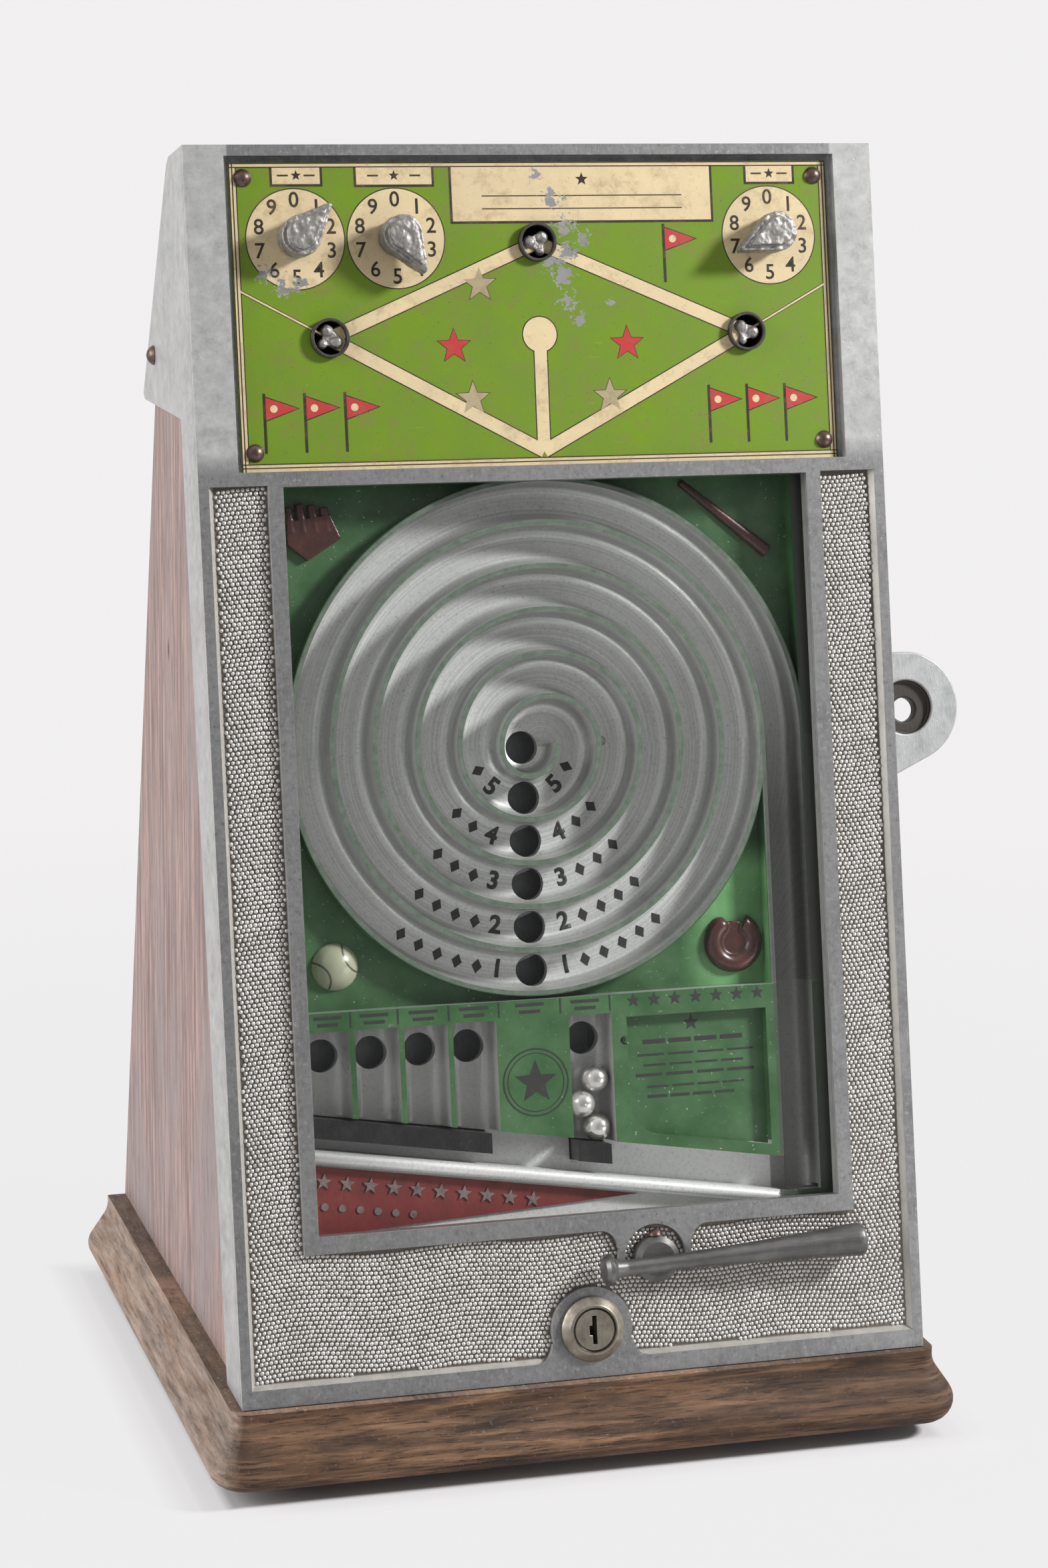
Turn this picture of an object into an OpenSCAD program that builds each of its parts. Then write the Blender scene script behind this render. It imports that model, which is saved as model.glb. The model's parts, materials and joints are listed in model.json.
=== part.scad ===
// Countertop coin game: a leaning cast front with a spiral playfield on a wedge cabinet. Sizes in mm.
// Frame: X right, Y back, Z up; the origin lies on the table under the middle of the base.

/* [Cast front] */
// width of the cast front
front_w = 245; // [235:1:260]
// backward lean of the front in degrees
lean = 11.65; // [10:0.05:13]
// thickness of the front plate
plate_t = 6; // [5:0.25:8]
// wall of the side strips, ears and top
cast_t = 3; // [2:0.25:4]
// depth of the side strips behind the face
cast_deep = 25; // [20:0.5:28]
// plain border beside and below the pebbled recess
border_w = 3.6; // [2.5:0.1:6]
// border below the pebbled recess
border_low = 6.6; // [4:0.1:9]
// border above the score recess
border_top = 3.7; // [3:0.1:8]
// depth of the pebbled recess
pebble_deep = 2.5; // [1:0.1:3]
// distance that the ears reach behind the face
ear_deep = 92.5; // [88:0.5:97]
// drop from the top edge to the back corner of the ears
ear_drop = 73.5; // [70:0.5:77]
// reach of the ears behind the face at their top
ear_top_deep = 29.5; // [27:0.5:32]
// distance of the pivot from the back edge of the ears
pivot_in = 10; // [9:0.25:12]
// distance of the pivot up the back edge of the ears
pivot_up = 23.3; // [21:0.1:26]

/* [Window and score panel] */
// height of the window's lower edge up the face
window_low = 56.5; // [54:0.5:62]
// width of the window
window_w = 187; // [184:0.5:190]
// height of the window
window_h = 253; // [250:0.5:258]
// width of the raised frame beside the window
rib_w = 5.2; // [4:0.1:7]
// height of the raised rail under the window
rail_h = 6; // [5:0.25:8]
// height of the bar between window and score recess
bar_h = 5.1; // [4.5:0.1:8]
// thickness of the glass
glass_t = 2.3; // [2:0.1:3]
// overlap of the glass behind the frame
glass_lap = 4; // [3:0.5:5]
// width of the score recess
score_w = 217.2; // [214:0.2:221]
// height of the score recess
score_h = 106.2; // [104:0.2:110]
// depth of the score panel's face below the face
score_deep = 3; // [2:0.1:3.4]
// thickness of the score panel
panel_t = 0.8; // [0.5:0.1:1.2]
// gap between score panel and recess
panel_gap = 1.9; // [1:0.1:3]

/* [Knobs and markers] */
// distance of the outer dials from the middle
dial_out = 84.6; // [80:0.2:88]
// distance of the inner dial from the middle
dial_in = 49.6; // [46:0.2:53]
// height of the dials above the score recess's lower edge
dial_up = 78.4; // [74:0.2:82]
// radius of a pointer knob
knob_r = 6.8; // [5.5:0.1:8]
// height of a pointer knob
knob_h = 12; // [9:0.5:15]
// reach of a pointer's beak from its axis
beak_len = 14.8; // [12:0.2:17]
// radius of the pointer shafts
shaft_r = 2; // [1.5:0.1:3]
// distance of the side markers from the middle
marker_out = 74.5; // [70:0.5:78]
// height of the side markers above the score recess's lower edge
marker_up = 44.8; // [40:0.2:50]
// height of the middle marker above the score recess's lower edge
marker_mid_up = 76.6; // [72:0.2:80]
// outer radius of the marker collars
collar_r = 6.7; // [6:0.1:8]
// radius of a marker's shaft
marker_shaft_r = 1.5; // [1.2:0.1:2]

/* [Playfield] */
// radius of the innermost upper ridge of the spiral
spiral_r = 17.5; // [17:0.1:18]
// distance between two turns of the spiral
spiral_pitch = 15; // [14.6:0.1:15.2]
// thickness of a spiral ridge
ridge_t = 1.8; // [1.4:0.1:2.4]
// radius of the gutters' rounded corners
gutter_r = 5; // [3:0.25:5.5]
// height of the spiral's middle above the window's lower edge
spiral_up = 161.6; // [160:0.2:163]
// radius of the ball holes
hole_r = 5.7; // [5.2:0.1:6]
// radius of a steel ball
ball_r = 4.76; // [4.5:0.01:5]
// depth of the gutters below the ridges
gutter_deep = 11.5; // [10.5:0.25:13]
// thickness of the playfield's floor
floor_t = 3; // [2:0.25:4]
// depth of the painted ground below the ridges
ground_deep = 7.5; // [5:0.25:9]
// distance between two result pockets
pocket_pitch = 17.3; // [17:0.1:17.4]
// width of a result pocket
pocket_w = 15.4; // [14:0.1:15.6]
// slope of the ball trough in degrees
trough_tilt = 9; // [7:0.5:10]
// height of the ball trough
trough_h = 12; // [11:0.25:13]
// width of the trough's lower rail
trough_rail = 5; // [4:0.25:6]

/* [Bat and lock] */
// distance of the bat's hub right of the middle
hub_u = 25; // [22:0.5:28]
// distance of the bat's hub below the window
hub_down = 17; // [16:0.25:18]
// radius of the bat's hub
hub_r = 8; // [7:0.25:9]
// radius of the bat's shaft
bat_shaft_r = 3; // [2.5:0.1:3.5]
// length of the bat
bat_len = 95; // [85:1:98]
// radius of the bat's barrel
barrel_r = 5.9; // [5:0.1:6.5]
// radius of the bat's handle
handle_r = 2.8; // [2.4:0.1:3.2]
// length of the bat left of its hub
bat_left = 20.5; // [18:0.5:22]
// slope of the bat at rest
bat_slope = 2; // [0:0.5:3]
// height of the bat's axis in front of the face
bat_out = 5.5; // [5.2:0.1:7]
// height of the lock up the face
lock_up = 17.2; // [16.5:0.1:18.5]
// radius of the lock's bezel
bezel_r = 11.3; // [10.5:0.1:12.5]
// radius of the lock's plug
plug_r = 7.3; // [6.8:0.1:7.8]
// radius of the lock's barrel
lock_r = 9.6; // [9.2:0.1:10.5]
// length of the lock behind the face
lock_len = 19; // [16:0.5:20]

/* [Coin slide] */
// height of the coin slide up the face
coin_up = 226; // [222:0.5:230]
// depth of the coin slide's face behind the front
coin_back = 33; // [31.5:0.5:35]
// radius of the slide's round end
coin_end_r = 20; // [18:0.25:21]
// distance of the round end's middle beyond the cast front's side
coin_reach = 17.5; // [15:0.25:21]
// thickness of the coin slide
slide_t = 7; // [6:0.25:8]
// radius of the coin seat
coin_r = 9.75; // [9.6:0.05:10.5]
// depth of the coin seat
coin_deep = 2.2; // [1.6:0.1:3]
// travel of the coin slide
coin_travel = 42; // [38:0.5:44]

/* [Cabinet] */
// depth of the cabinet on the base
cab_depth = 240; // [234:1:246]
// forward lean of the back in degrees
back_lean = 14.5; // [14:0.1:15]
// thickness of the wooden sides
side_t = 12; // [10:0.5:13]
// thickness of the back panel
back_t = 9; // [7:0.5:11]

/* [Base] */
// height of the base
base_h = 26.5; // [25:0.5:30]
// widest reach of the moulding beyond the cabinet
mould_over = 11.7; // [10:0.1:13]
// reach of the moulding's top edge beyond the cabinet
mould_top = 3.4; // [2.5:0.1:4]
// radius of the moulding's round nose
nose_r = 7.6; // [6.5:0.1:8]
// radius of the moulding's cove
cove_r = 8.6; // [7.5:0.1:9]
// height of the feet
foot_h = 5.5; // [4:0.5:8]
// radius of the feet
foot_r = 8; // [6:0.5:10]
// distance of the feet from the base's edges
foot_in = 24; // [18:1:32]

/* [Hidden] */
$fn = 64;

// clearances
run = 0.06;
slip = 0.4;
seat = 0.15;
play = 0.3;
over = 1;

// the face frame: u right, v up the face, w out of the face
base_top = foot_h + base_h;
face_y = (mould_over - cab_depth) / 2;
half_w = front_w / 2;
window_top = window_low + window_h;
score_low = window_top + bar_h;
score_top = score_low + score_h;
front_len = score_top + border_top;
side_out = half_w - cast_t - play;
side_in = side_out - side_t;

// ears and pivot, as points [v, w]
ear_a = [front_len, -cast_deep];
ear_b = [front_len - 2, -ear_top_deep];
ear_c = [front_len - ear_drop, -ear_deep];
ear_nick = 2.5;
ear_dir = (ear_b - ear_c) / norm(ear_b - ear_c);
ear_inward = [-ear_dir[1], ear_dir[0]];
pivot = ear_c + ear_dir * pivot_up + ear_inward * pivot_in;
back_dir = [cos(back_lean + lean), sin(back_lean + lean)];
back_inward = [-back_dir[1], back_dir[0]];
back_foot = [cab_depth * sin(lean), -cab_depth * cos(lean)];

function cross2(a, b) = a[0] * b[1] - a[1] * b[0];
function meet(p, d, q, e) = p + d * cross2(q - p, e) / cross2(d, e);
// a point n outward of the pivot and t up the ears' back edge
function by_pivot(n, t) = pivot + ear_dir * t - ear_inward * n;
// height up the face at depth w of a point dz above the base
function level(w, dz = 0) = (dz - w * sin(lean)) / cos(lean);
function world_y(p) = face_y + p[0] * sin(lean) - p[1] * cos(lean);
function world_z(p) = base_top + p[0] * cos(lean) + p[1] * sin(lean);

module on_face() {
    translate([0, face_y, base_top]) rotate([90 - lean, 0, 0]) children();
}

module slab(u0, u1, v0, v1, w0, w1) {
    translate([u0, v0, w0]) cube([u1 - u0, v1 - v0, w1 - w0]);
}

module post(u, v, w0, w1, r) {
    translate([u, v, w0]) cylinder(h = w1 - w0, r = r);
}

// a profile in [v, w] run along u
module along_u(u0, u1) {
    translate([u0, 0, 0]) rotate([90, 0, 90]) linear_extrude(u1 - u0) children();
}

// a profile in [u, w] run along v
module along_v(v0, v1) {
    translate([0, v1, 0]) rotate([90, 0, 0]) linear_extrude(v1 - v0) children();
}

module below_base_top(gap) {
    reach = cab_depth * 2;
    translate([-reach, -reach, -reach]) cube([2 * reach, 2 * reach, reach + base_top + gap]);
}

// a round-headed pin or screw with its seat at the origin and its head along +Z
slot_share = 0.24;
module round_pin(head_r, head_h, shank_r, shank_l) {
    ball = (head_r * head_r + head_h * head_h) / (2 * head_h);
    intersection() {
        translate([0, 0, head_h - ball]) sphere(ball);
        cylinder(h = head_h, r = head_r);
    }
    translate([0, 0, -shank_l]) cylinder(h = shank_l + head_h / 4, r = shank_r);
}

module round_screw(head_r, head_h, shank_r, shank_l) {
    difference() {
        round_pin(head_r, head_h, shank_r, shank_l);
        translate([-head_r, -head_r * slot_share / 2, head_h / 2])
            cube([2 * head_r, head_r * slot_share, head_h]);
    }
}

// a helical spring along +X, as one tube swept by functions
spring_wire = 0.4;
coil_sides = 6;
coil_rings = 8;
function coil_point(i, n, length, r) =
    [length * i / n, r * cos(360 * i / coil_rings), r * sin(360 * i / coil_rings)];
function coil_frame(i, n, length, r, wire, k) =
    let (a = 360 * i / coil_rings, b = 360 * k / coil_sides, out = [0, cos(a), sin(a)])
    coil_point(i, n, length, r) + wire * (cos(b) * out + sin(b) * [1, 0, 0]);
module coil(length, r, wire, turns) {
    n = turns * coil_rings;
    points = [for (i = [0 : n], k = [0 : coil_sides - 1]) coil_frame(i, n, length, r, wire, k)];
    quads = [for (i = [0 : n - 1], k = [0 : coil_sides - 1])
        let (a = i * coil_sides + k, b = i * coil_sides + (k + 1) % coil_sides)
        [a, b, b + coil_sides, a + coil_sides]];
    sides = [for (q = quads, h = [0, 1]) h == 0 ? [q[0], q[1], q[2]] : [q[0], q[2], q[3]]];
    first = [for (k = [1 : coil_sides - 2]) [0, k + 1, k]];
    last_ring = n * coil_sides;
    last = [for (k = [1 : coil_sides - 2]) [last_ring, last_ring + k, last_ring + k + 1]];
    echo(str("spring gap ", length / turns - 2 * wire));
    polyhedron(points, concat(sides, first, last));
}

// base: board, mitred mouldings and glides
mould_in = 2;
mould_x = half_w - mould_in;
mould_y = face_y + mould_in;
back_y = face_y + cab_depth;
nose_o = mould_in + mould_over - nose_r;
cove_o = mould_in + mould_top + cove_r + 0.2;
cove_z = -2.2;
spike_r = 1.2;
spike_l = 12;
strike_w = 40;
strike_d = 20;
strike_t = 1.5;
strike_hole_w = 26;
strike_hole_d = 11;
cam_len = 16;
cam_w = 9;
cam_t = 2;
lock_u = 1;
cam_top_w = -lock_len - 1.5;
cam_tip = [lock_up - cam_len, cam_top_w - cam_t / 2];
strike_y = world_y(cam_tip);
strike_x = lock_u - 3;
strike_screw_x = 16.5;

cove_c = [cove_o, base_h + cove_z];
nose_c = [nose_o, nose_r];
bend = cove_c - nose_c;
// direction in which the round nose hands over to the cove
join_a = atan2(bend[1], bend[0]) - acos(min(1, (cove_r + nose_r) / norm(bend)));
nose_steps = 9;
cove_steps = 5;

// an ogee: a round nose that runs up into a cove
module mould_profile() {
    nose = [for (i = [0 : nose_steps]) let (a = -90 + (join_a + 90) * i / nose_steps)
        nose_c + nose_r * [cos(a), sin(a)]];
    cove = [for (i = [0 : cove_steps]) let (a = 180 + join_a * (1 - i / cove_steps))
        cove_c + cove_r * [cos(a), sin(a)]];
    polygon(concat([[0, 0]], nose, cove, [[cove_o - cove_r, base_h], [0, base_h]]));
}

module foot_places() {
    for (x = [-1, 1], y = [mould_y - mould_over + foot_in, back_y - foot_in])
        translate([x * (half_w + mould_over - foot_in), y, 0]) children();
    children();
}

module base_board() {
    color("saddlebrown") difference() {
        translate([-mould_x, mould_y, foot_h]) cube([2 * mould_x, back_y - mould_y, base_h]);
        foot_places() translate([0, 0, foot_h - over])
            cylinder(h = spike_l + over + slip, r = spike_r + run);
        translate([strike_x - strike_w / 2 - seat, strike_y - strike_d / 2 - seat,
                   base_top - strike_t - seat])
            cube([strike_w + 2 * seat, strike_d + 2 * seat, strike_t + over]);
        translate([strike_x - strike_hole_w / 2, strike_y - strike_hole_d / 2, base_top - cam_len * 0.6])
            cube([strike_hole_w, strike_hole_d, cam_len]);
        strike_screw_places() cylinder(h = 2 * strike_screw_l, r = strike_screw_r + run, center = true);
    }
}

// a rounded corner of the moulding between two compass directions
module mould_corner(side, from) {
    translate([side * mould_x, mould_y, foot_h]) rotate([0, 0, from]) rotate_extrude(angle = 45)
        mould_profile();
}

module base_front_moulding() {
    color("sienna") {
        translate([mould_x, mould_y, foot_h]) rotate([90, 0, -90]) linear_extrude(2 * mould_x)
            mould_profile();
        mould_corner(1, -90);
        mould_corner(-1, 225);
    }
}

module base_left_moulding() {
    color("sienna") {
        translate([-mould_x, mould_y, foot_h]) rotate([90, 0, 180]) linear_extrude(back_y - mould_y)
            mould_profile();
        mould_corner(-1, 180);
    }
}

module base_right_moulding() {
    color("sienna") {
        translate([mould_x, back_y, foot_h]) rotate([90, 0, 0]) linear_extrude(back_y - mould_y)
            mould_profile();
        mould_corner(1, -45);
    }
}

module feet() {
    ball = (foot_r * foot_r + foot_h * foot_h) / (2 * foot_h);
    sole_cut = foot_h * 0.15;
    color("dimgray") foot_places() {
        intersection() {
            translate([0, 0, ball - sole_cut]) sphere(ball);
            cylinder(h = foot_h, r = foot_r);
        }
        cylinder(h = foot_h + spike_l, r = spike_r);
    }
}

// strike plate let into the base, with its two screws
strike_screw_r = 1.3;
strike_screw_l = 9;
module strike_screw_places() {
    for (x = [-1, 1]) translate([strike_x + x * strike_screw_x, strike_y, base_top]) children();
}

module strike_plate() {
    color("gray") difference() {
        translate([strike_x - strike_w / 2, strike_y - strike_d / 2, base_top - strike_t])
            cube([strike_w, strike_d, strike_t]);
        translate([strike_x - strike_hole_w / 2, strike_y - strike_hole_d / 2, base_top - strike_t - over])
            cube([strike_hole_w, strike_hole_d, strike_t + 2 * over]);
        strike_screw_places() cylinder(h = 3 * strike_t, r = strike_screw_r + run, center = true);
    }
}

module strike_screws() {
    color("darkgray") strike_screw_places() round_screw(2.4, 1, strike_screw_r, strike_screw_l);
}

// wooden sides, back and rail
side_front = plate_t + 1;
side_bottom_front = [level(-side_front, seat), -side_front];
ear_skin = 0.8;
side_back_corner = meet(back_foot, back_dir, by_pivot(pivot_in - ear_skin, 0), ear_dir);
side_outline = [side_bottom_front, [pivot[0] - 8, -side_front], by_pivot(-34, 36),
                by_pivot(pivot_in - ear_skin, 46), side_back_corner,
                [level(back_foot[1], seat), back_foot[1]]];
pivot_screw_r = 2.5;
pivot_screw_l = 14;
slot_low = coin_up - coin_end_r * 2;
slot_high = coin_up + coin_end_r;

module wooden_side(side) {
    difference() {
        on_face() difference() {
            along_u(side > 0 ? side_in : -side_out, side > 0 ? side_out : -side_in) polygon(side_outline);
            translate([0, pivot[0], pivot[1]]) rotate([0, 90, 0])
                cylinder(h = 2 * front_w, r = pivot_screw_r + run, center = true);
            if (side > 0) {
                slab(side_in - over, side_out + over, slot_low - slip, slot_high + slip,
                     -coin_back - slide_t - slip, -coin_back + slip);
                guide_screw_places() rotate([0, 90, 0]) cylinder(h = guide_screw_l, r = guide_screw_r + run);
            }
        }
        on_face() along_u(-side_in - rabbet_w, side_in + rabbet_w) back_outline(seat);
        back_screw_places() cylinder(h = 3 * back_screw_l, r = back_screw_r + run, center = true);
    }
}

module side_left() {
    color("indianred") wooden_side(-1);
}

module side_right() {
    color("indianred") wooden_side(1);
}

rail_top_t = 11.5;
rail_low_t = -9;
rabbet_w = 6;
back_screw_r = 1.4;
back_screw_l = 16;
back_screw_steps = [40, 150, 260];

// the back's profile, grown into the rabbets that it sits in
module back_outline(grow = 0) {
    level_dir = [level(-1) - level(0), -1];
    sill = [level(0, seat - 4 * grow), 0];
    head = by_pivot(0, rail_low_t - 1 + grow);
    outer = back_foot - back_inward * 4 * grow;
    inner = back_foot + back_inward * (back_t + grow);
    polygon([meet(outer, back_dir, sill, level_dir), meet(outer, back_dir, head, ear_inward),
             meet(inner, back_dir, head, ear_inward), meet(inner, back_dir, sill, level_dir)]);
}

module back_screw_places() {
    for (s = back_screw_steps, side = [-1, 1]) {
        p = back_foot + back_dir * s;
        translate([side * (side_in + rabbet_w / 2), world_y(p), world_z(p)]) rotate([back_lean - 90, 0, 0])
            children();
    }
}

module back_panel() {
    reach = side_in + rabbet_w - seat;
    color("rosybrown") difference() {
        on_face() along_u(-reach, reach) back_outline();
        back_screw_places() cylinder(h = 3 * back_screw_l, r = back_screw_r + run, center = true);
    }
}

module back_screws() {
    color("darkgray") back_screw_places() translate([0, 0, seat])
        round_screw(2.6, 1.6, back_screw_r, back_screw_l);
}

module top_rail() {
    color("rosybrown") on_face() along_u(-side_in + seat, side_in - seat)
        polygon([by_pivot(-8, rail_low_t), by_pivot(-8, rail_top_t), by_pivot(8.5, rail_top_t),
                 by_pivot(8.5, rail_low_t)]);
}

module pivot_screws() {
    color("darkkhaki") on_face() for (side = [0, 1]) mirror([side, 0, 0])
        translate([half_w + seat, pivot[0], pivot[1]]) rotate([0, 90, 0])
            round_pin(3.5, 2.4, pivot_screw_r, pivot_screw_l);
}

// cash box on the base
box_w = 62;
box_gap = 7.2;
box_x = side_in - box_gap - box_w;
box_y = -45;
box_d = 100;
box_h = 55;
box_t = 1.2;
module cash_box() {
    color("slategray") translate([box_x, box_y, base_top + seat]) difference() {
        cube([box_w, box_d, box_h]);
        translate([box_t, box_t, box_t]) cube([box_w - 2 * box_t, box_d - 2 * box_t, box_h]);
    }
}

// coin slide, guide and spring
slide_front = -coin_back;
slide_back = -coin_back - slide_t;
coin_u = half_w + coin_reach;
slide_in = side_in - 33;
arm_tilt = 24.7;
coin_hole_r = 4.4;
coin_hole_down = 0.9;
arm_foot = meet([coin_u, coin_up] + coin_end_r * [sin(arm_tilt), -cos(arm_tilt)],
                [cos(arm_tilt), sin(arm_tilt)],
                [0, slot_low], [1, 0]);
tab_w = 8;
tab_low = slot_low - 20;
guide_t = 2.8;
guide_below = 27;
guide_above = 13;
guide_front = slide_front + 3;
guide_back = slide_back - 3.4;
rail_start = slide_in + tab_w + slip;
turn_travel = 4.2;
spring_v = slot_low - 15.5;
spring_w = slide_front - slide_t / 2;
lug_u = side_in - guide_t - 6;
guide_screw_r = 1.6;
guide_screw_l = 11;

module coin_slide() {
    color("lightgray") on_face() difference() {
        translate([0, 0, slide_back]) linear_extrude(slide_t) {
            translate([coin_u, coin_up]) circle(coin_end_r);
            polygon([[slide_in, slot_low], arm_foot,
                     [coin_u, coin_up] + coin_end_r * [sin(arm_tilt), -cos(arm_tilt)],
                     [coin_u, coin_up], [coin_u, slot_high], [slide_in, slot_high]]);
            translate([slide_in, tab_low]) square([tab_w, slot_low - tab_low + over]);
        }
        post(coin_u, coin_up, slide_front - coin_deep, slide_front + over, coin_r);
        post(coin_u, coin_up - coin_hole_down, slide_back - over, slide_front, coin_hole_r);
    }
}

module guide_screw_places() {
    for (v = [slot_low - 23, slot_high + 9])
        translate([side_in - guide_t, v, (guide_front + guide_back) / 2]) children();
}

module coin_guide() {
    color("lightsteelblue") on_face() difference() {
        union() {
            slab(side_in - guide_t - seat, side_in - seat, slot_low - guide_below, slot_high + guide_above,
                 guide_back, guide_front);
            slab(rail_start, side_in - guide_t, slot_high + slip, slot_high + 5, guide_back, guide_front);
            slab(rail_start, side_in - guide_t, slot_low - 10, slot_low - slip, guide_back, guide_front);
            slab(rail_start, side_in - guide_t, slot_low - 10, slot_high + 5, guide_back, slide_back - slip);
            slab(lug_u, side_in - guide_t, spring_v - 4, spring_v + 4, guide_back, guide_front);
        }
        slab(side_in - guide_t - 2 * over, side_in + over, slot_low - slip, slot_high + slip,
             slide_back - slip, slide_front + slip);
        guide_screw_places() rotate([0, 90, 0])
            cylinder(h = 3 * guide_t, r = guide_screw_r + run, center = true);
    }
}

module coin_guide_screws() {
    color("darkgray") on_face() guide_screw_places() translate([-seat, 0, 0]) rotate([0, -90, 0])
        round_screw(2.9, 1.6, guide_screw_r, guide_screw_l - over);
}

module coin_spring() {
    spring_gap = seat + spring_wire;
    spring_start = slide_in + tab_w + spring_gap;
    color("dimgray") on_face() translate([spring_start, spring_v, spring_w])
        coil(lug_u - spring_gap - spring_start, 2.8, spring_wire, round(coin_travel / turn_travel));
}

// front casting
boss_r = 14.4;
arch_r = 11;
arch_rim = 2.3;
hub_v = window_low - hub_down;
land_fillet = 6.5;
pebble_top = window_top + 0.5;
frame_half = window_w / 2 + rib_w;
bush_r = 4.6;
lock_hole_r = lock_r + 0.1;
panel_w = score_w - 2 * panel_gap;
panel_high = score_h - panel_gap;
screw_side = panel_w / 2 - 4.8;
screw_low = 6.6;
screw_top = panel_high - 5.2;
panel_screw_r = 1.5;
floor_back = -plate_t;
knob_places = [[-dial_out, dial_up], [-dial_in, dial_up], [dial_out, dial_up]];
knob_turn = [45, -60, 205];
marker_places = [[-marker_out, marker_up], [0, marker_mid_up], [marker_out, marker_up]];
cup_r = collar_r - 0.5;
flange_u = side_in - 1.2;
mount_u = (window_w / 2 + glass_lap + flange_u) / 2;
mount_v = [window_low + 14, window_low + window_h / 2, window_top - 10];
mount_screw_r = 1.5;
mount_boss_r = 3.3;
spring_post_u = hub_u + 36;
tail_len = 17.5;

module pebble_area() {
    difference() {
        translate([-half_w + border_w, border_low])
            square([front_w - 2 * border_w, pebble_top - border_low]);
        translate([-frame_half, window_low - rail_h]) square([2 * frame_half, window_h * 2]);
        lock_land();
        hub_land();
    }
    translate([hub_u, hub_v + 1]) circle(arch_r);
}

module lock_land() {
    translate([lock_u, lock_up]) circle(boss_r);
    difference() {
        translate([lock_u - boss_r - land_fillet, 0])
            square([2 * (boss_r + land_fillet), border_low + land_fillet]);
        for (side = [-1, 1]) translate([lock_u + side * (boss_r + land_fillet), border_low + land_fillet])
            circle(land_fillet);
    }
}

module hub_land() {
    land_r = arch_r + arch_rim;
    rail_v = window_low - rail_h;
    intersection() {
        translate([hub_u, hub_v + 1]) circle(land_r);
        translate([hub_u - land_r, hub_v - 3]) square([2 * land_r, 2 * land_r]);
    }
    difference() {
        translate([hub_u - land_r - land_fillet, rail_v - land_fillet])
            square([2 * (land_r + land_fillet), land_fillet + over]);
        for (side = [-1, 1]) translate([hub_u + side * (land_r + land_fillet), rail_v - land_fillet])
            circle(land_fillet);
    }
}

module ear() {
    nick = [ear_c[0] - ear_nick, ear_c[1] + ear_nick * 0.8];
    foot = [nick[0] - (cast_deep + nick[1]) * -tan(lean), -cast_deep + over];
    polygon([[front_len - cast_t, -cast_deep + over], [front_len, -cast_deep + over], ear_a, ear_b, ear_c,
             nick,
             foot]);
}

module mount_places() {
    for (side = [-1, 1], v = mount_v) translate([side * mount_u, v, 0]) children();
}

module panel_screw_places() {
    for (side = [-1, 1], v = [screw_low, screw_top]) translate([side * screw_side, score_low + v, 0])
        children();
}

// sloped walls along the outer sides and the bottom of the pebbled recess
slope_w = 1.7;
slope_h = pebble_deep * 0.85;
module recess_slopes() {
    edge = half_w - border_w;
    along_u(-edge - over, edge + over) slope_profile(border_low);
    for (side = [0, 1]) mirror([side, 0, 0]) along_v(border_low - over, pebble_top + over)
        slope_profile(-edge);
}

module slope_profile(from) {
    polygon([[from - over, -pebble_deep - over], [from + slope_w, -pebble_deep - over],
             [from + slope_w, -pebble_deep],
             [from, -pebble_deep + slope_h], [from - over, -pebble_deep + slope_h]]);
}

module cast_plate() {
    difference() {
        slab(-half_w, half_w, 0, front_len, -plate_t, 0);
        translate([0, 0, -pebble_deep]) linear_extrude(pebble_deep + over) pebble_area();
    }
    recess_slopes();
}

module cast_walls() {
    slab(-half_w, half_w, front_len - cast_t, front_len, -cast_deep, 0);
    for (side = [0, 1]) mirror([side, 0, 0]) {
        slab(half_w - cast_t, half_w, 0, front_len, -cast_deep, 0);
        along_u(half_w - cast_t, half_w) ear();
    }
    mount_places() post(0, 0, glass_back - seat, -plate_t + over, mount_boss_r);
    post(hub_u, hub_v, bush_back, -plate_t / 2, bush_r + 2.5);
    post(spring_post_u, hub_v - tail_len, kicker_back, -plate_t / 2, 2);
}

module front_casting() {
    color("silver") difference() {
        on_face() difference() {
            union() {
                cast_plate();
                cast_walls();
            }
            slab(-window_w / 2, window_w / 2, window_low, window_top, -plate_t - over, over);
            slab(-score_w / 2, score_w / 2, score_low, score_top, -score_deep - panel_t, over);
            panel_screw_places() cylinder(h = 3 * plate_t, r = panel_screw_r + run, center = true);
            for (p = knob_places) post(p[0], score_low + p[1], -2 * plate_t, over, shaft_r + run);
            for (p = marker_places) post(p[0], score_low + p[1], -2 * plate_t, over, cup_r + run);
            post(hub_u, hub_v, bush_back - over, over, bush_r + run);
            post(lock_u, lock_up, -2 * plate_t, over, lock_hole_r);
            mount_places() post(0, 0, field_back, -pebble_deep - 1.2, mount_screw_r + run);
            hood_screw_places() cylinder(h = cast_t * 1.4, r = hood_screw_r + run, center = true);
            translate([0, pivot[0], pivot[1]]) rotate([0, 90, 0])
                cylinder(h = 2 * front_w, r = pivot_screw_r + run, center = true);
        }
        below_base_top(slip);
    }
}

// plate that closes the back of the hood
hood_t = 2;
hood_low_t = 14;
hood_in = front_len - cast_t;
hood_screw_r = 1.5;
hood_flange_w = -cast_deep + 12;
hood_half = side_in - 0.8;
module hood_screw_places() {
    for (u = [-hood_half * 0.8, 0, hood_half * 0.8])
        translate([u, hood_in, -cast_deep + 5]) rotate([90, 0, 0]) children();
}

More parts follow.
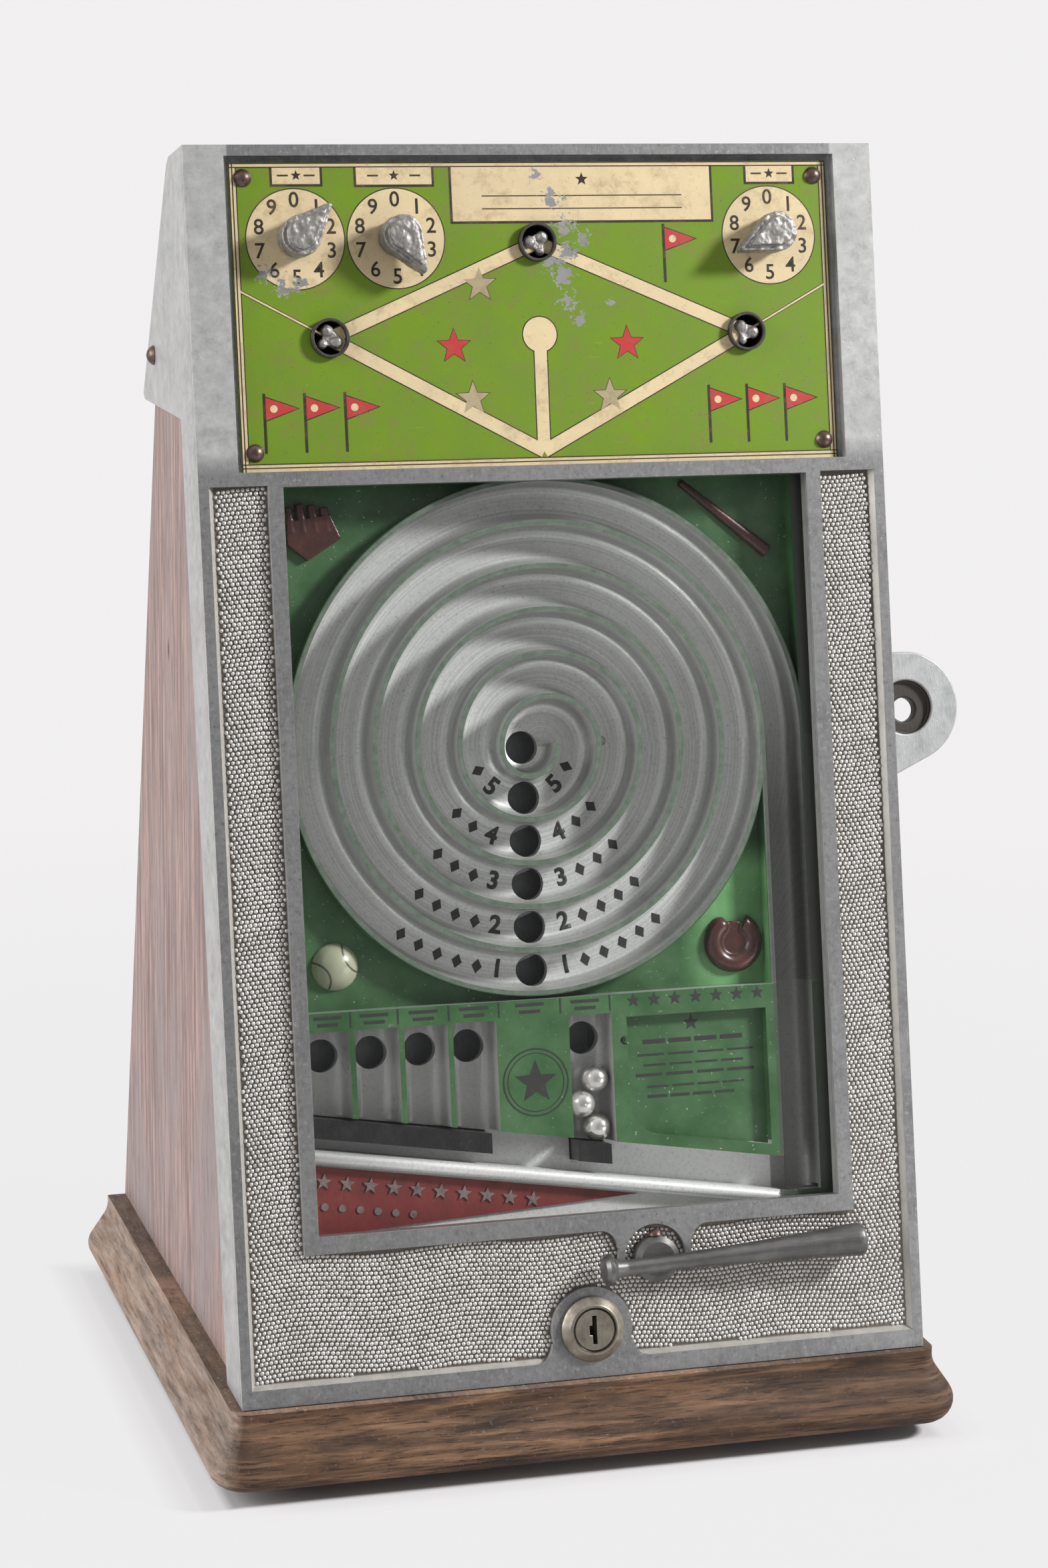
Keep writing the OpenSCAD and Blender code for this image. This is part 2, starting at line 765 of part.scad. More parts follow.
module rear_hood() {
    outer = by_pivot(pivot_in - 0.6, hood_low_t);
    inner = by_pivot(pivot_in - 0.6 - hood_t, hood_low_t);
    under = [hood_in - hood_t, 0];
    color("gainsboro") on_face() difference() {
        along_u(-hood_half, hood_half)
            polygon([outer, meet(outer, ear_dir, [hood_in - seat, 0], [0, 1]),
                     [hood_in - seat, hood_flange_w],
                     [under[0], hood_flange_w], meet(inner, ear_dir, under, [0, 1]), inner]);
        hood_screw_places() cylinder(h = 4 * hood_t, r = hood_screw_r + run, center = true);
    }
}

module hood_screws() {
    color("darkgray") on_face() hood_screw_places() translate([0, 0, hood_t + seat])
        round_screw(2.8, 1.6, hood_screw_r, hood_t + cast_t * 0.6);
}

// score panel, screws, knobs and markers
panel_face = -score_deep;
module score_panel() {
    color("yellowgreen") on_face() difference() {
        slab(-panel_w / 2, panel_w / 2, score_low + seat, score_low + panel_high,
             panel_face - panel_t + 0.05,
             panel_face);
        panel_screw_places() cylinder(h = 3 * plate_t, r = panel_screw_r + run, center = true);
        for (p = knob_places) post(p[0], score_low + p[1], -plate_t, over, shaft_r + run);
        for (p = marker_places) post(p[0], score_low + p[1], -plate_t, over, cup_r + run);
    }
}

module panel_screws() {
    color("saddlebrown") on_face() panel_screw_places() translate([0, 0, panel_face + 0.05])
        round_pin(3.1, 1.9, panel_screw_r, panel_t + 1.6);
}

nut_h = 2.2;
nut_r = 3.6;
module knob(i) {
    p = knob_places[i];
    foot = panel_face + play;
    skirt_h = knob_h * 0.3;
    crown_h = knob_h * 0.14;
    head_h = knob_h - skirt_h - crown_h;
    beak_half = 0.6;
    color("lightgray") on_face() translate([p[0], score_low + p[1], foot]) rotate([0, 0, knob_turn[i]]) {
        cylinder(h = skirt_h + over, r = knob_r * 0.93);
        translate([0, 0, skirt_h]) linear_extrude(head_h) knob_outline(1, beak_len, beak_half);
        translate([0, 0, skirt_h + head_h - over]) linear_extrude(crown_h + over)
            knob_outline(0.72, beak_len * 0.8, beak_half / 2);
        translate([0, 0, floor_back - nut_h - 1.2 - foot])
            cylinder(h = foot - floor_back + nut_h + 1.2 + over, r = shaft_r);
    }
}

// a round grip that runs out into a pointed beak
module knob_outline(share, reach, half) {
    r = knob_r * share;
    circle(r);
    polygon([[r * 0.35, r * 0.93], [reach, half], [reach, -half], [r * 0.35, -r * 0.93]]);
}

module knob_nut(i) {
    p = knob_places[i];
    color("darkgray") on_face() difference() {
        translate([p[0], score_low + p[1], floor_back - play - nut_h])
            cylinder(h = nut_h, r = nut_r, $fn = 6);
        post(p[0], score_low + p[1], floor_back - 4 * nut_h, 0, shaft_r + run);
    }
}

module knob_left() { knob(0); }
module knob_inner() { knob(1); }
module knob_right() { knob(2); }
module nut_left() { knob_nut(0); }
module nut_inner() { knob_nut(1); }
module nut_right() { knob_nut(2); }

collar_h = 2.3;
cup_t = 0.5;
cup_floor = floor_back - 6;
module marker_cups() {
    color("gray") on_face() for (p = marker_places) translate([p[0], score_low + p[1], 0]) difference() {
        union() {
            translate([0, 0, cup_floor]) cylinder(h = -cup_floor + panel_face + collar_h, r = cup_r);
            translate([0, 0, panel_face + 0.05]) cylinder(h = collar_h, r = collar_r);
        }
        translate([0, 0, cup_floor + cup_t]) cylinder(h = plate_t * 4, r = cup_r - cup_t);
        cylinder(h = plate_t * 6, r = marker_shaft_r + run, center = true);
    }
}

lobe_r = 2.35;
lobe_out = 2.4;
lobe_up = 0.9;
lobe_tip_r = 1.7;
lobe_tip_down = 3.2;
lobe_post_r = 2.6;
peen_h = 1.2;
lobe_w = panel_face - 0.4;
marker_turns = [-52, 20, -24];
module marker(i) {
    p = marker_places[i];
    shaft_low = cup_floor - play - peen_h;
    post_low = cup_floor + cup_t + play;
    color("lightgray") on_face() translate([p[0], score_low + p[1], 0]) rotate([0, 0, marker_turns[i]]) {
        for (side = [-1, 1]) translate([side * lobe_out, lobe_up, lobe_w]) sphere(lobe_r);
        translate([0, -lobe_tip_down, lobe_w]) sphere(lobe_tip_r);
        translate([0, 0, post_low]) cylinder(h = lobe_w + lobe_r / 2 - post_low, r = lobe_post_r);
        translate([0, 0, shaft_low]) cylinder(h = 4, r = marker_shaft_r);
        translate([0, 0, shaft_low]) cylinder(h = peen_h, r = marker_shaft_r * 1.7);
    }
}

module marker_third() { marker(0); }
module marker_second() { marker(1); }
module marker_first() { marker(2); }

// glass and playfield
glass_front = -plate_t - 0.1;
glass_back = glass_front - glass_t;
module glass() {
    reach = window_w / 2 + glass_lap;
    color("lightblue", 0.3) on_face()
        slab(-reach, reach, window_low - glass_lap, window_top + glass_lap, glass_back, glass_front);
}

spiral_turns = 5;
field_front = glass_back - 0.4;
field_floor = field_front - gutter_deep;
field_back = field_floor - floor_t;
ground_w = field_front - ground_deep;
spiral_v = window_low + spiral_up;
// the upper half turns on one centre and the lower half on another, half a pitch to the left
upper_u = -1.5;
lower_u = upper_u - spiral_pitch / 2;
lower_r = spiral_r - spiral_pitch / 2;
outer_r = spiral_r + spiral_turns * spiral_pitch;
play_left = upper_u - outer_r;
lane_right = upper_u + outer_r;
lane_left = lane_right - spiral_pitch;
deck_top = spiral_v - lower_r - spiral_turns * spiral_pitch - ridge_t / 2 - 1;
field_low = window_low - 7.5;
field_high = spiral_v + outer_r + 5;
lane_low = window_low + 1.6;
hi_left = deck_top - 34;
pocket_top = deck_top - 6.6;
pocket_hole_v = pocket_top - 8.8;
pocket_first_u = play_left + 0.9 + pocket_w / 2;
out_u = pocket_first_u + 5.4 * pocket_pitch;
card_left = out_u + pocket_w / 2 + 3.5;
card_right = lane_left - 1.5;
card_deep = 4;
ground_in = 0.6;
lower_panel_deep = 6;

function trough_hi(u) = hi_left - (u - play_left) * tan(trough_tilt);
function trough_lo(u) = trough_hi(u) - trough_h;
function pocket_u(i) = pocket_first_u + i * pocket_pitch;
pocket_us = [pocket_u(0), pocket_u(1), pocket_u(2), pocket_u(3), out_u];

// U with bent corners between two ridges, in [radius, w]
gutter_bends = [0, 30, 60, 90];
module gutter(r0, r1, two_sided = true) {
    half = ridge_t / 2;
    near = r0 + half;
    far = r1 - half;
    mouth = field_front + over;
    right = [for (a = gutter_bends) [far - gutter_r * (1 - sin(a)), field_floor + gutter_r * (1 - cos(a))]];
    left = [for (a = gutter_bends) [near + gutter_r * (1 - cos(a)), field_floor + gutter_r * (1 - sin(a))]];
    if (two_sided) polygon(concat(right, [[far, mouth], [near, mouth]], left));
    else polygon(concat(right, [[far, mouth], [0, mouth], [0, field_floor]]));
}

module spiral_half(first_r) {
    rotate_extrude(angle = 180) {
        gutter(0, first_r, false);
        for (k = [1 : spiral_turns])
            gutter(first_r + (k - 1) * spiral_pitch, first_r + k * spiral_pitch);
    }
}

module disc_area(grow) {
    translate([upper_u, spiral_v]) intersection() {
        circle(outer_r + grow);
        translate([-2 * outer_r, 0]) square([4 * outer_r, 2 * outer_r]);
    }
    translate([lower_u, spiral_v]) intersection() {
        circle(outer_r - spiral_pitch / 2 + grow);
        translate([-2 * outer_r, -2 * outer_r]) square([4 * outer_r, 2 * outer_r + 0.01]);
    }
}

module ground_area() {
    difference() {
        translate([play_left + ground_in, deck_top])
            square([lane_right - play_left - 2 * ground_in, field_high - 3 - deck_top]);
        disc_area(ridge_t / 2);
        translate([lane_left - ridge_t / 2, 0]) square([spiral_pitch + 2 * ridge_t, spiral_v + 0.01]);
    }
}

module trough_area() {
    end = lane_left + spiral_pitch / 3;
    polygon([[play_left, trough_hi(play_left)], [end, trough_hi(end)], [end, trough_lo(end)],
             [play_left, trough_lo(play_left)]]);
}

module cut_to(w) {
    translate([0, 0, w]) linear_extrude(field_front - w + over) children();
}

module card_area(inset) {
    corner = 12;
    left = card_left + inset;
    right = card_right - inset;
    top = pocket_top + 0.3 - inset;
    lip = 2 + inset;
    difference() {
        polygon([[left, trough_hi(left) + lip], [right, trough_hi(right) + lip], [right, top], [left, top]]);
        translate([left - over, trough_hi(left) - corner]) square([corner + over, 2 * corner]);
    }
    intersection() {
        translate([left + corner, trough_hi(left) + lip + corner * 0.86]) circle(corner);
        translate([left - over, trough_hi(left) - corner]) square([corner + 2 * over, 3 * corner]);
    }
}

gate_height = 7;
gate_back = field_back - 1.5;
gate_plate_t = 2;
gate_travel = gutter_deep - 0.9;
gate_posts_u = [pocket_u(1) - pocket_pitch / 2, pocket_u(4)];
gate_post_r = 2.5;
module gate_bar_area(grow) {
    for (span = [[play_left + 2.2, pocket_u(3) + pocket_w / 2 - 3], [out_u - 6, out_u + 6]])
        polygon([[span[0] - grow, trough_hi(span[0]) - 1 + grow],
                 [span[1] + grow, trough_hi(span[1]) - 1 + grow],
                 [span[1] + grow, trough_hi(span[1]) - 1 - gate_height - grow],
                 [span[0] - grow, trough_hi(span[0]) - 1 - gate_height - grow]]);
}

module playfield() {
    color("mediumseagreen") on_face() union() {
        difference() {
            slab(-flange_u, flange_u, field_low, field_high, field_back, field_front);
            cut_to(ground_w) ground_area();
            translate([upper_u, spiral_v, 0]) spiral_half(spiral_r);
            translate([lower_u, spiral_v, 0]) rotate([0, 0, 180]) spiral_half(lower_r);
            translate([0, spiral_v, 0]) rotate([90, 0, 0]) linear_extrude(spiral_v - lane_low)
                gutter(lane_left, lane_right);
            for (k = [0 : spiral_turns])
                post(lower_u, spiral_v - (k == 0 ? 0 : lower_r + (k - 0.5) * spiral_pitch),
                     field_back - over,
                     field_front, hole_r);
            cut_to(field_floor) trough_area();
            for (u = pocket_us) {
                pocket_half = (pocket_w + ridge_t) / 2;
                pocket_low = trough_lo(u) + trough_h / 2;
                translate([u, pocket_top, 0]) rotate([90, 0, 0]) linear_extrude(pocket_top - pocket_low)
                    gutter(-pocket_half, pocket_half);
                post(u, pocket_hole_v, field_back - over, field_front, hole_r);
            }
            cut_to(field_front - card_deep) card_area(2);
            cut_to(field_front - lower_panel_deep) lower_panel_area();
            cut_to(field_front - 3) translate([lane_left - 8, deck_top + 3]) slot_area(6.5, 44);
            cut_to(field_front - rail_deep)
                below_trough(play_left + ground_in, lane_left, -0.5, trough_rail + 0.5);
            translate([0, 0, field_back - over]) linear_extrude(2 * floor_t + over) gate_bar_area(slip);
            slab(lane_left + 1, lane_right + 1, field_low - over, lane_low + over, kicker_back - 0.7,
                 kicker_front + 0.7);
            mount_places() cylinder(h = 8 * plate_t, r = mount_screw_r + run, center = true);
            tray_screw_places() cylinder(h = 8 * plate_t, r = mount_screw_r + run, center = true);
        }
        trough_rail_bar();
        for (u = gate_posts_u)
            post(u, gate_plate_v(u), gate_back - gate_travel - 5, field_back + over, gate_post_r);
        post(upper_u + spiral_r - spiral_pitch, spiral_v, field_floor - over, field_front, ridge_t / 2);
    }
}

// what lies under the trough between two distances below its lower edge
module below_trough(left, right, from, to) {
    polygon([[left, trough_lo(left) - from], [right, trough_lo(right) - from],
             [right, trough_lo(right) - to],
             [left, trough_lo(left) - to]]);
}

module lower_panel_area() {
    left = play_left + ground_in;
    right = lane_left - 5;
    polygon([[left, trough_lo(left) - trough_rail], [right, trough_lo(right) - trough_rail],
             [right, field_low + 3], [left, field_low + 3]]);
}

// the half-round top of the trough's lower rail
rail_deep = 3.2;
module trough_rail_bar() {
    left = play_left - over;
    r = trough_rail * cos(trough_tilt) / 2;
    translate([left, trough_lo(left) - trough_rail / 2, field_front - rail_deep])
        rotate([0, 0, -trough_tilt]) rotate([0, 90, 0])
            cylinder(h = (lane_left - left) / cos(trough_tilt), r = r);
}

module slot_area(width, height) {
    translate([0, width / 2]) square([width, height - width]);
    for (v = [width / 2, height - width / 2]) translate([width / 2, v]) circle(width / 2);
}

module playfield_screws() {
    color("darkgray") on_face() mount_places() translate([0, 0, field_back - seat]) mirror([0, 0, 1])
        round_screw(3, 1.7, mount_screw_r, -field_back - pebble_deep - 2);
}

// cast ornaments on the painted ground
module reliefs() {
    ball_seat = 9.3;
    mitt_r = 7.4;
    mitt_tube = 3.4;
    bat_thin = 1.4;
    bat_thick = 2.6;
    bat_long = 40;
    bat_in = 39;
    bat_above = 13.8;
    corner_v = deck_top + 15;
    glove_u = play_left + 13;
    palm = [[-9, -4], [-2, -9.6], [10, -2.2], [6.5, 6], [-9, 4]];
    finger_r = 1.95;
    finger_pitch = 4.2;
    glove_v = spiral_v + outer_r - 16;
    mitt_u = lane_left - 12;
    color("brown") on_face() intersection() {
        union() {
            translate([play_left + 14, corner_v, ground_w - 4]) sphere(ball_seat);
            translate([mitt_u, corner_v, ground_w]) rotate([0, 0, 130]) {
                rotate_extrude(angle = 290) translate([mitt_r, 0]) circle(mitt_tube);
                cylinder(h = 1.6, r = mitt_r);
                translate([mitt_r, 0, 0]) sphere(mitt_tube);
            }
            translate([glove_u, glove_v, ground_w]) {
                linear_extrude(2.4) polygon(palm);
                for (i = [0 : 3]) translate([(i - 1.7) * finger_pitch, 0, 0.7]) rotate([0, 0, 97])
                    rotate([0, 90, 0])
                        cylinder(h = 10.4 - abs(i - 1.3), r1 = finger_r, r2 = finger_r * 0.85);
            }
            translate([lane_right - bat_in, glove_v + bat_above, ground_w]) rotate([0, 0, -39])
                rotate([0, 90, 0]) cylinder(h = bat_long, r1 = bat_thin, r2 = bat_thick);
        }
        slab(-half_w, half_w, 0, front_len, ground_w + 0.05, field_front - 0.6);
    }
}

red_short = 52;
module red_field() {
    left = play_left + 1;
    bottom = window_low - 2;
    tip = lane_left - red_short;
    color("firebrick") on_face() translate([0, 0, field_front - lower_panel_deep + 0.05]) linear_extrude(1)
        polygon([[left, trough_lo(left) - trough_rail - 0.8], [tip, trough_lo(tip) - trough_rail - 0.8],
                 [left, bottom]]);
}

// three balls at rest in the out pocket
module balls() {
    touch = 0.35;
    right_u = out_u + pocket_w / 2 - ball_r - touch;
    left_u = out_u - pocket_w / 2 + ball_r + touch;
    step = sqrt(pow(2 * ball_r + touch, 2) - pow(right_u - left_u, 2));
    first_v = trough_hi(right_u) - 1 + (ball_r + touch) / cos(trough_tilt);
    color("lightgray") on_face() for (i = [0 : 2])
        translate([i == 1 ? left_u : right_u, first_v + i * step, field_floor + ball_r + touch])
            sphere(ball_r);
}

// tray behind the playfield that leads each hole to its pocket
tray_t = 1.2;
tray_room = 2 * ball_r + 1.2;
tray_left = play_left + 0.5;
tray_right = out_u + pocket_w / 2;
tray_low = pocket_hole_v - 9;
tray_high = spiral_v + 9;
tray_front = field_back - seat;
tray_back = tray_front - tray_room - tray_t;
chute_tilt = 20;
tab_r = 5;
module tray_screw_places() {
    for (u = [tray_left - 4.5, tray_right + 4.5], v = [tray_low + 8, tray_high - 8]) translate([u, v, 0])
        children();
}

module return_tray() {
    chute_u = lower_u + 8;
    color("lightsteelblue") on_face() difference() {
        union() {
            difference() {
                slab(tray_left, tray_right, tray_low, tray_high, tray_back, tray_front);
                slab(tray_left + tray_t, tray_right - tray_t, tray_low + tray_t, tray_high - tray_t,
                     tray_back + tray_t, tray_front + over);
            }
            for (i = [0 : 3]) {
                hole_v = spiral_v - lower_r - (i + 0.5) * spiral_pitch;
                wall_u = pocket_u(i) + pocket_pitch / 2;
                run_u = chute_u - wall_u;
                bend_v = hole_v - 7 - run_u * tan(chute_tilt);
                slab(wall_u - tray_t / 2, wall_u + tray_t / 2, tray_low, bend_v, tray_back + tray_t / 2,
                     tray_front);
                translate([wall_u - tray_t / 2, bend_v - tray_t, tray_back + tray_t / 2])
                    rotate([0, 0, chute_tilt])
                    cube([run_u / cos(chute_tilt), tray_t, tray_room + tray_t / 2]);
            }
            tray_screw_places() translate([0, 0, tray_front - tray_t]) cylinder(h = tray_t, r = tab_r);
        }
        tray_screw_places() cylinder(h = 16 * plate_t, r = mount_screw_r + run, center = true);
    }
}

module tray_screws() {
    color("darkgray") on_face() tray_screw_places() translate([0, 0, tray_front - tray_t - seat])
        mirror([0, 0, 1])
        round_screw(2.6, 1.5, mount_screw_r, floor_t + tray_t);
}

// gate: two bars that hold the balls, on one plate behind the playfield
function gate_plate_v(u) = trough_hi(u) - 1 - gate_height - 6.5;
module gate() {
    left = play_left + 4;
    right = out_u + 6;
    color("black") on_face() difference() {
        union() {
            translate([0, 0, gate_back - 0.5]) linear_extrude(field_front - 1 - gate_back + 0.5)
                gate_bar_area(0);
            translate([0, 0, gate_back - gate_plate_t]) linear_extrude(gate_plate_t)
                polygon([[left, trough_hi(left) - 1], [right, trough_hi(right) - 1],
                         [right, gate_plate_v(right) - 5], [left, gate_plate_v(left) - 5]]);
        }
        for (u = gate_posts_u)
            post(u, gate_plate_v(u), gate_back - 2 * gate_travel, field_front, gate_post_r + run);
    }
}

// bat lever, shaft and kicker
bush_front = -pebble_deep - seat;
bush_back = -plate_t - 6;
kicker_front = bush_back - slip;
kicker_t = 4;
kicker_back = kicker_front - kicker_t;
hub_top = bat_out - handle_r + 0.9;
shaft_front = hub_top - 1.1;
kick_u = (lane_left + lane_right) / 2 + 1;
kick_top = lane_low - 0.5;
arm_w = 7;
bat_knob_r = 5.5;
bat_knob_l = 4.4;
bat_drop = 1.2;
module bat_lever() {
    grip = bat_len - bat_left;
    left = -bat_left;
    neck = left + bat_knob_l;
    hub_side = hub_top - 1.5;
    color("lightgray") on_face() difference() {
        translate([hub_u, hub_v, 0]) {
            rotate_extrude() polygon([[0, -pebble_deep + play], [hub_r, -pebble_deep + play],
                                      [hub_r, hub_side],
                                      [hub_r * 0.75, hub_top], [0, hub_top]]);
            translate([0, -bat_drop, bat_out]) rotate([0, 0, bat_slope]) rotate([0, 90, 0]) rotate_extrude()
                polygon([[0, left], [bat_knob_r * 0.8, left], [bat_knob_r, left + bat_knob_l * 0.3],
                         [bat_knob_r, left + bat_knob_l * 0.6], [handle_r * 1.25, neck],
                         [handle_r, neck + bat_knob_l],
                         [handle_r, grip * 0.1], [barrel_r * 0.66, grip * 0.5],
                         [barrel_r * 0.85, grip * 0.8],
                         [barrel_r, grip - 1.5], [barrel_r - 0.8, grip], [0, grip]]);
        }
        post(hub_u, hub_v, -pebble_deep - over, shaft_front + 0.2, bat_shaft_r + run);
        set_screw_place() cylinder(h = 3 * hub_r, r = set_r + run, center = true);
    }
}

set_r = 1.2;
set_head_r = 2.5;
set_w = set_head_r + slip - pebble_deep;
module set_screw_place() {
    translate([hub_u, hub_v + hub_r, set_w]) rotate([-90, 0, 0]) children();
}

module bat_set_screw() {
    color("sienna") on_face() set_screw_place() translate([0, 0, 0.1])
        round_screw(set_head_r, 2.2, set_r, hub_r - bat_shaft_r - 0.2);
}

module bat_bushing() {
    color("darkgoldenrod") on_face() difference() {
        post(hub_u, hub_v, bush_back, bush_front, bush_r);
        post(hub_u, hub_v, bush_back - over, over, bat_shaft_r + run);
    }
}

module bat_shaft() {
    color("gray") on_face() post(hub_u, hub_v, kicker_back - 2, shaft_front, bat_shaft_r);
}

module kicker() {
    run_u = kick_u - hub_u;
    rise = 4;
    color("dimgray") on_face() difference() {
        union() {
            post(hub_u, hub_v, kicker_back, kicker_front, hub_r - 1);
            translate([hub_u, hub_v - arm_w / 2, kicker_back]) rotate([0, 0, atan2(rise, run_u)])
                cube([run_u / cos(atan2(rise, run_u)), arm_w, kicker_t]);
            slab(kick_u - 3.5, kick_u + 3.5, hub_v + rise - arm_w / 2, kick_top, kicker_back, kicker_front);
            slab(hub_u - 2.5, hub_u + 2.5, hub_v - tail_len - 3, hub_v, kicker_back, kicker_front);
        }
        post(hub_u, hub_v, kicker_back - over, kicker_front + over, bat_shaft_r + run);
    }
}

module bat_spring() {
    spring_gap = seat + spring_wire;
    start = hub_u + 2.5 + spring_gap;
    length = spring_post_u - 2 - spring_gap - start;
    color("dimgray") on_face() translate([start, hub_v - tail_len, kicker_back + kicker_t / 2])
        coil(length, 2.6, spring_wire, 18);
}

// cylinder lock
bezel_h = 3.4;
bezel_edge = 0.9;
plug_back = -lock_len - 1;
tail_r = 4;
module lock_body() {
    color("darkgray") on_face() translate([lock_u, lock_up, 0]) difference() {
        union() {
            translate([0, 0, -lock_len]) cylinder(h = lock_len + 0.5, r = lock_r);
            translate([0, 0, 0.1]) rotate_extrude()
                polygon([[0, 0], [bezel_r, 0], [bezel_r, bezel_edge],
                         [bezel_r - bezel_edge / 2, bezel_edge * 1.6],
                         [plug_r + 1.2, bezel_h], [0, bezel_h]]);
        }
        translate([0, 0, -2 * lock_len]) cylinder(h = 3 * lock_len, r = plug_r + run);
    }
}

module lock_nut() {
    nut_t = 3.5;
    color("gray") on_face() translate([lock_u, lock_up, -plate_t - 0.1 - nut_t]) difference() {
        cylinder(h = nut_t, r = lock_r + 2.9);
        translate([0, 0, -over]) cylinder(h = nut_t + 2 * over, r = lock_r + run);
        for (side = [-1, 1]) translate([side * lock_r * 2.1, 0, nut_t / 2])
            cube([2 * lock_r, lock_r * 4, nut_t * 2], center = true);
    }
}

module lock_plug() {
    key_w = 1.6;
    key_h = 9.8;
    key_deep = 9;
    color("darkgray") on_face() translate([lock_u, lock_up, 0]) difference() {
        union() {
            translate([0, 0, plug_back]) cylinder(h = bezel_h - 0.2 - plug_back, r = plug_r);
            translate([0, 0, cam_top_w - cam_t]) cylinder(h = cam_t + over, r = tail_r);
        }
        translate([-key_w / 2, -key_h / 2, bezel_h - key_deep]) cube([key_w, key_h, key_deep]);
        translate([-key_w * 1.2, -key_h * 0.18, bezel_h - key_deep])
            cube([key_w * 1.2, key_h * 0.34, key_deep]);
        translate([0, 0, cam_top_w - cam_t - over]) cylinder(h = 8, r = cam_screw_r + run);
    }
}

cam_screw_r = 1.5;
module lock_cam() {
    color("gray") on_face() translate([lock_u, lock_up, cam_top_w - cam_t]) difference() {
        union() {
            cylinder(h = cam_t, r = cam_w / 2 + 2);
            translate([-cam_len, -cam_w / 2, 0]) cube([cam_len, cam_w, cam_t]);
        }
        translate([0, 0, -over]) cylinder(h = cam_t + 2 * over, r = tail_r + run);
    }
}

module cam_screw() {
    color("darkgray") on_face() translate([lock_u, lock_up, cam_top_w - cam_t - seat]) mirror([0, 0, 1])
        round_screw(5, 1.8, cam_screw_r, 5);
}

base_board();
base_front_moulding();
base_left_moulding();
base_right_moulding();
feet();
side_left();
side_right();
back_panel();
back_screws();
top_rail();
pivot_screws();
strike_plate();
strike_screws();
cash_box();
coin_guide();
coin_guide_screws();
coin_slide();
coin_spring();
front_casting();
rear_hood();
hood_screws();
score_panel();
panel_screws();
marker_cups();
marker_third();
marker_second();
marker_first();
knob_left();
knob_inner();
knob_right();
nut_left();
nut_inner();
nut_right();
glass();
playfield();
playfield_screws();
reliefs();
red_field();
balls();
return_tray();
tray_screws();
gate();
bat_lever();
bat_set_screw();
bat_bushing();
bat_shaft();
kicker();
bat_spring();
lock_body();
lock_nut();
lock_plug();
lock_cam();
cam_screw();
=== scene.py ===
import json
import math
import random

import bmesh
import bpy
from mathutils import Matrix, Vector
from mathutils.bvhtree import BVHTree


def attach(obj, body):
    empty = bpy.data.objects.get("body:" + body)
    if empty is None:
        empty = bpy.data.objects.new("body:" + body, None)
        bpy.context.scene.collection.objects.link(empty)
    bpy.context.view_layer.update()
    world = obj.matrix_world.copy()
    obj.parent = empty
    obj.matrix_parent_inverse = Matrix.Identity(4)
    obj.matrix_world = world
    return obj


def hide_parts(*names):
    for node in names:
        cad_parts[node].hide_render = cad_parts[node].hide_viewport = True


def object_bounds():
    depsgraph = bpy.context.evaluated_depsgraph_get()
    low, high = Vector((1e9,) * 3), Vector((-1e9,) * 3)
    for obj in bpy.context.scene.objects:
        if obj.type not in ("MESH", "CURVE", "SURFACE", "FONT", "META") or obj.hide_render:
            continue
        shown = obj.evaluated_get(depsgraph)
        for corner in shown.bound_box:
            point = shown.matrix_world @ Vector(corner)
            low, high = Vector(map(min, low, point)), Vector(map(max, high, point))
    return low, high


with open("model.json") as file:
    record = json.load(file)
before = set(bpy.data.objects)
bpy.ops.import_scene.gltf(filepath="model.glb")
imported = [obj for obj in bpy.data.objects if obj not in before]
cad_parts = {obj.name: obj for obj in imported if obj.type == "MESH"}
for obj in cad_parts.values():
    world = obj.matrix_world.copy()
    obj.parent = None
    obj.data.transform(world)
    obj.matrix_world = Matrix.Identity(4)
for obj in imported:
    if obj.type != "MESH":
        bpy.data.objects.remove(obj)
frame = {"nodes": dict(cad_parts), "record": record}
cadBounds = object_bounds()
print("frame loaded:", len(frame["nodes"]), "nodes")

# the leaning face: u runs right, v up the slope and w out of it, in mm
leaningFace = {"lean": 11.65, "foot": -114.15, "baseTop": 32.0}
faceTurn = math.radians(90 - leaningFace["lean"])
faceOrigin = Vector((0, leaningFace["foot"], leaningFace["baseTop"])) / 1000
faceToWorld = (Matrix.Translation(faceOrigin) @ Matrix.Rotation(faceTurn, 4, "X")
               @ Matrix.Scale(0.001, 4))


# shader building

def change(thing, **settings):
    for name, value in settings.items():
        setattr(thing, name, value)


def feed(socket, value):  # a link, a colour or a plain value
    if isinstance(value, bpy.types.NodeSocket):
        socket.id_data.links.new(value, socket)
    elif socket.type == "RGBA":
        socket.default_value = (*value, 1)
    else:
        socket.default_value = value


def put(tree, kind, sockets=None, **settings):
    made = tree.nodes.new(kind)
    change(made, **settings)
    for name, value in (sockets or {}).items():
        feed(made.inputs[name], value)
    return made


def join(kind, sockets, **settings):  # a node in the tree of what feeds it
    tree = next(value.id_data for value in sockets.values() if isinstance(value, bpy.types.NodeSocket))
    return put(tree, kind, sockets, **settings)


def blankFinish(name):
    material = bpy.data.materials.new(name)
    material.use_nodes = True
    tree = material.node_tree
    return material, tree, tree.nodes["Principled BSDF"]


def opened(material):  # a finish's tree, its shader and what feeds the colour
    tree = material.node_tree
    shader = tree.nodes["Principled BSDF"]
    return tree, shader, shader.inputs["Base Color"].links[0].from_socket


def setSockets(shader, **values):  # camelCase names stand for the sockets' own names
    for key, value in values.items():
        name = "".join(" " + c if c.isupper() else c for c in key).strip().title()
        feed(shader.inputs[name.replace("Ior", "IOR")], value)


def stretched(coords, scale, turn=(0, 0, 0)):
    return join("ShaderNodeMapping", {"Vector": coords, "Scale": scale, "Rotation": turn}).outputs[0]


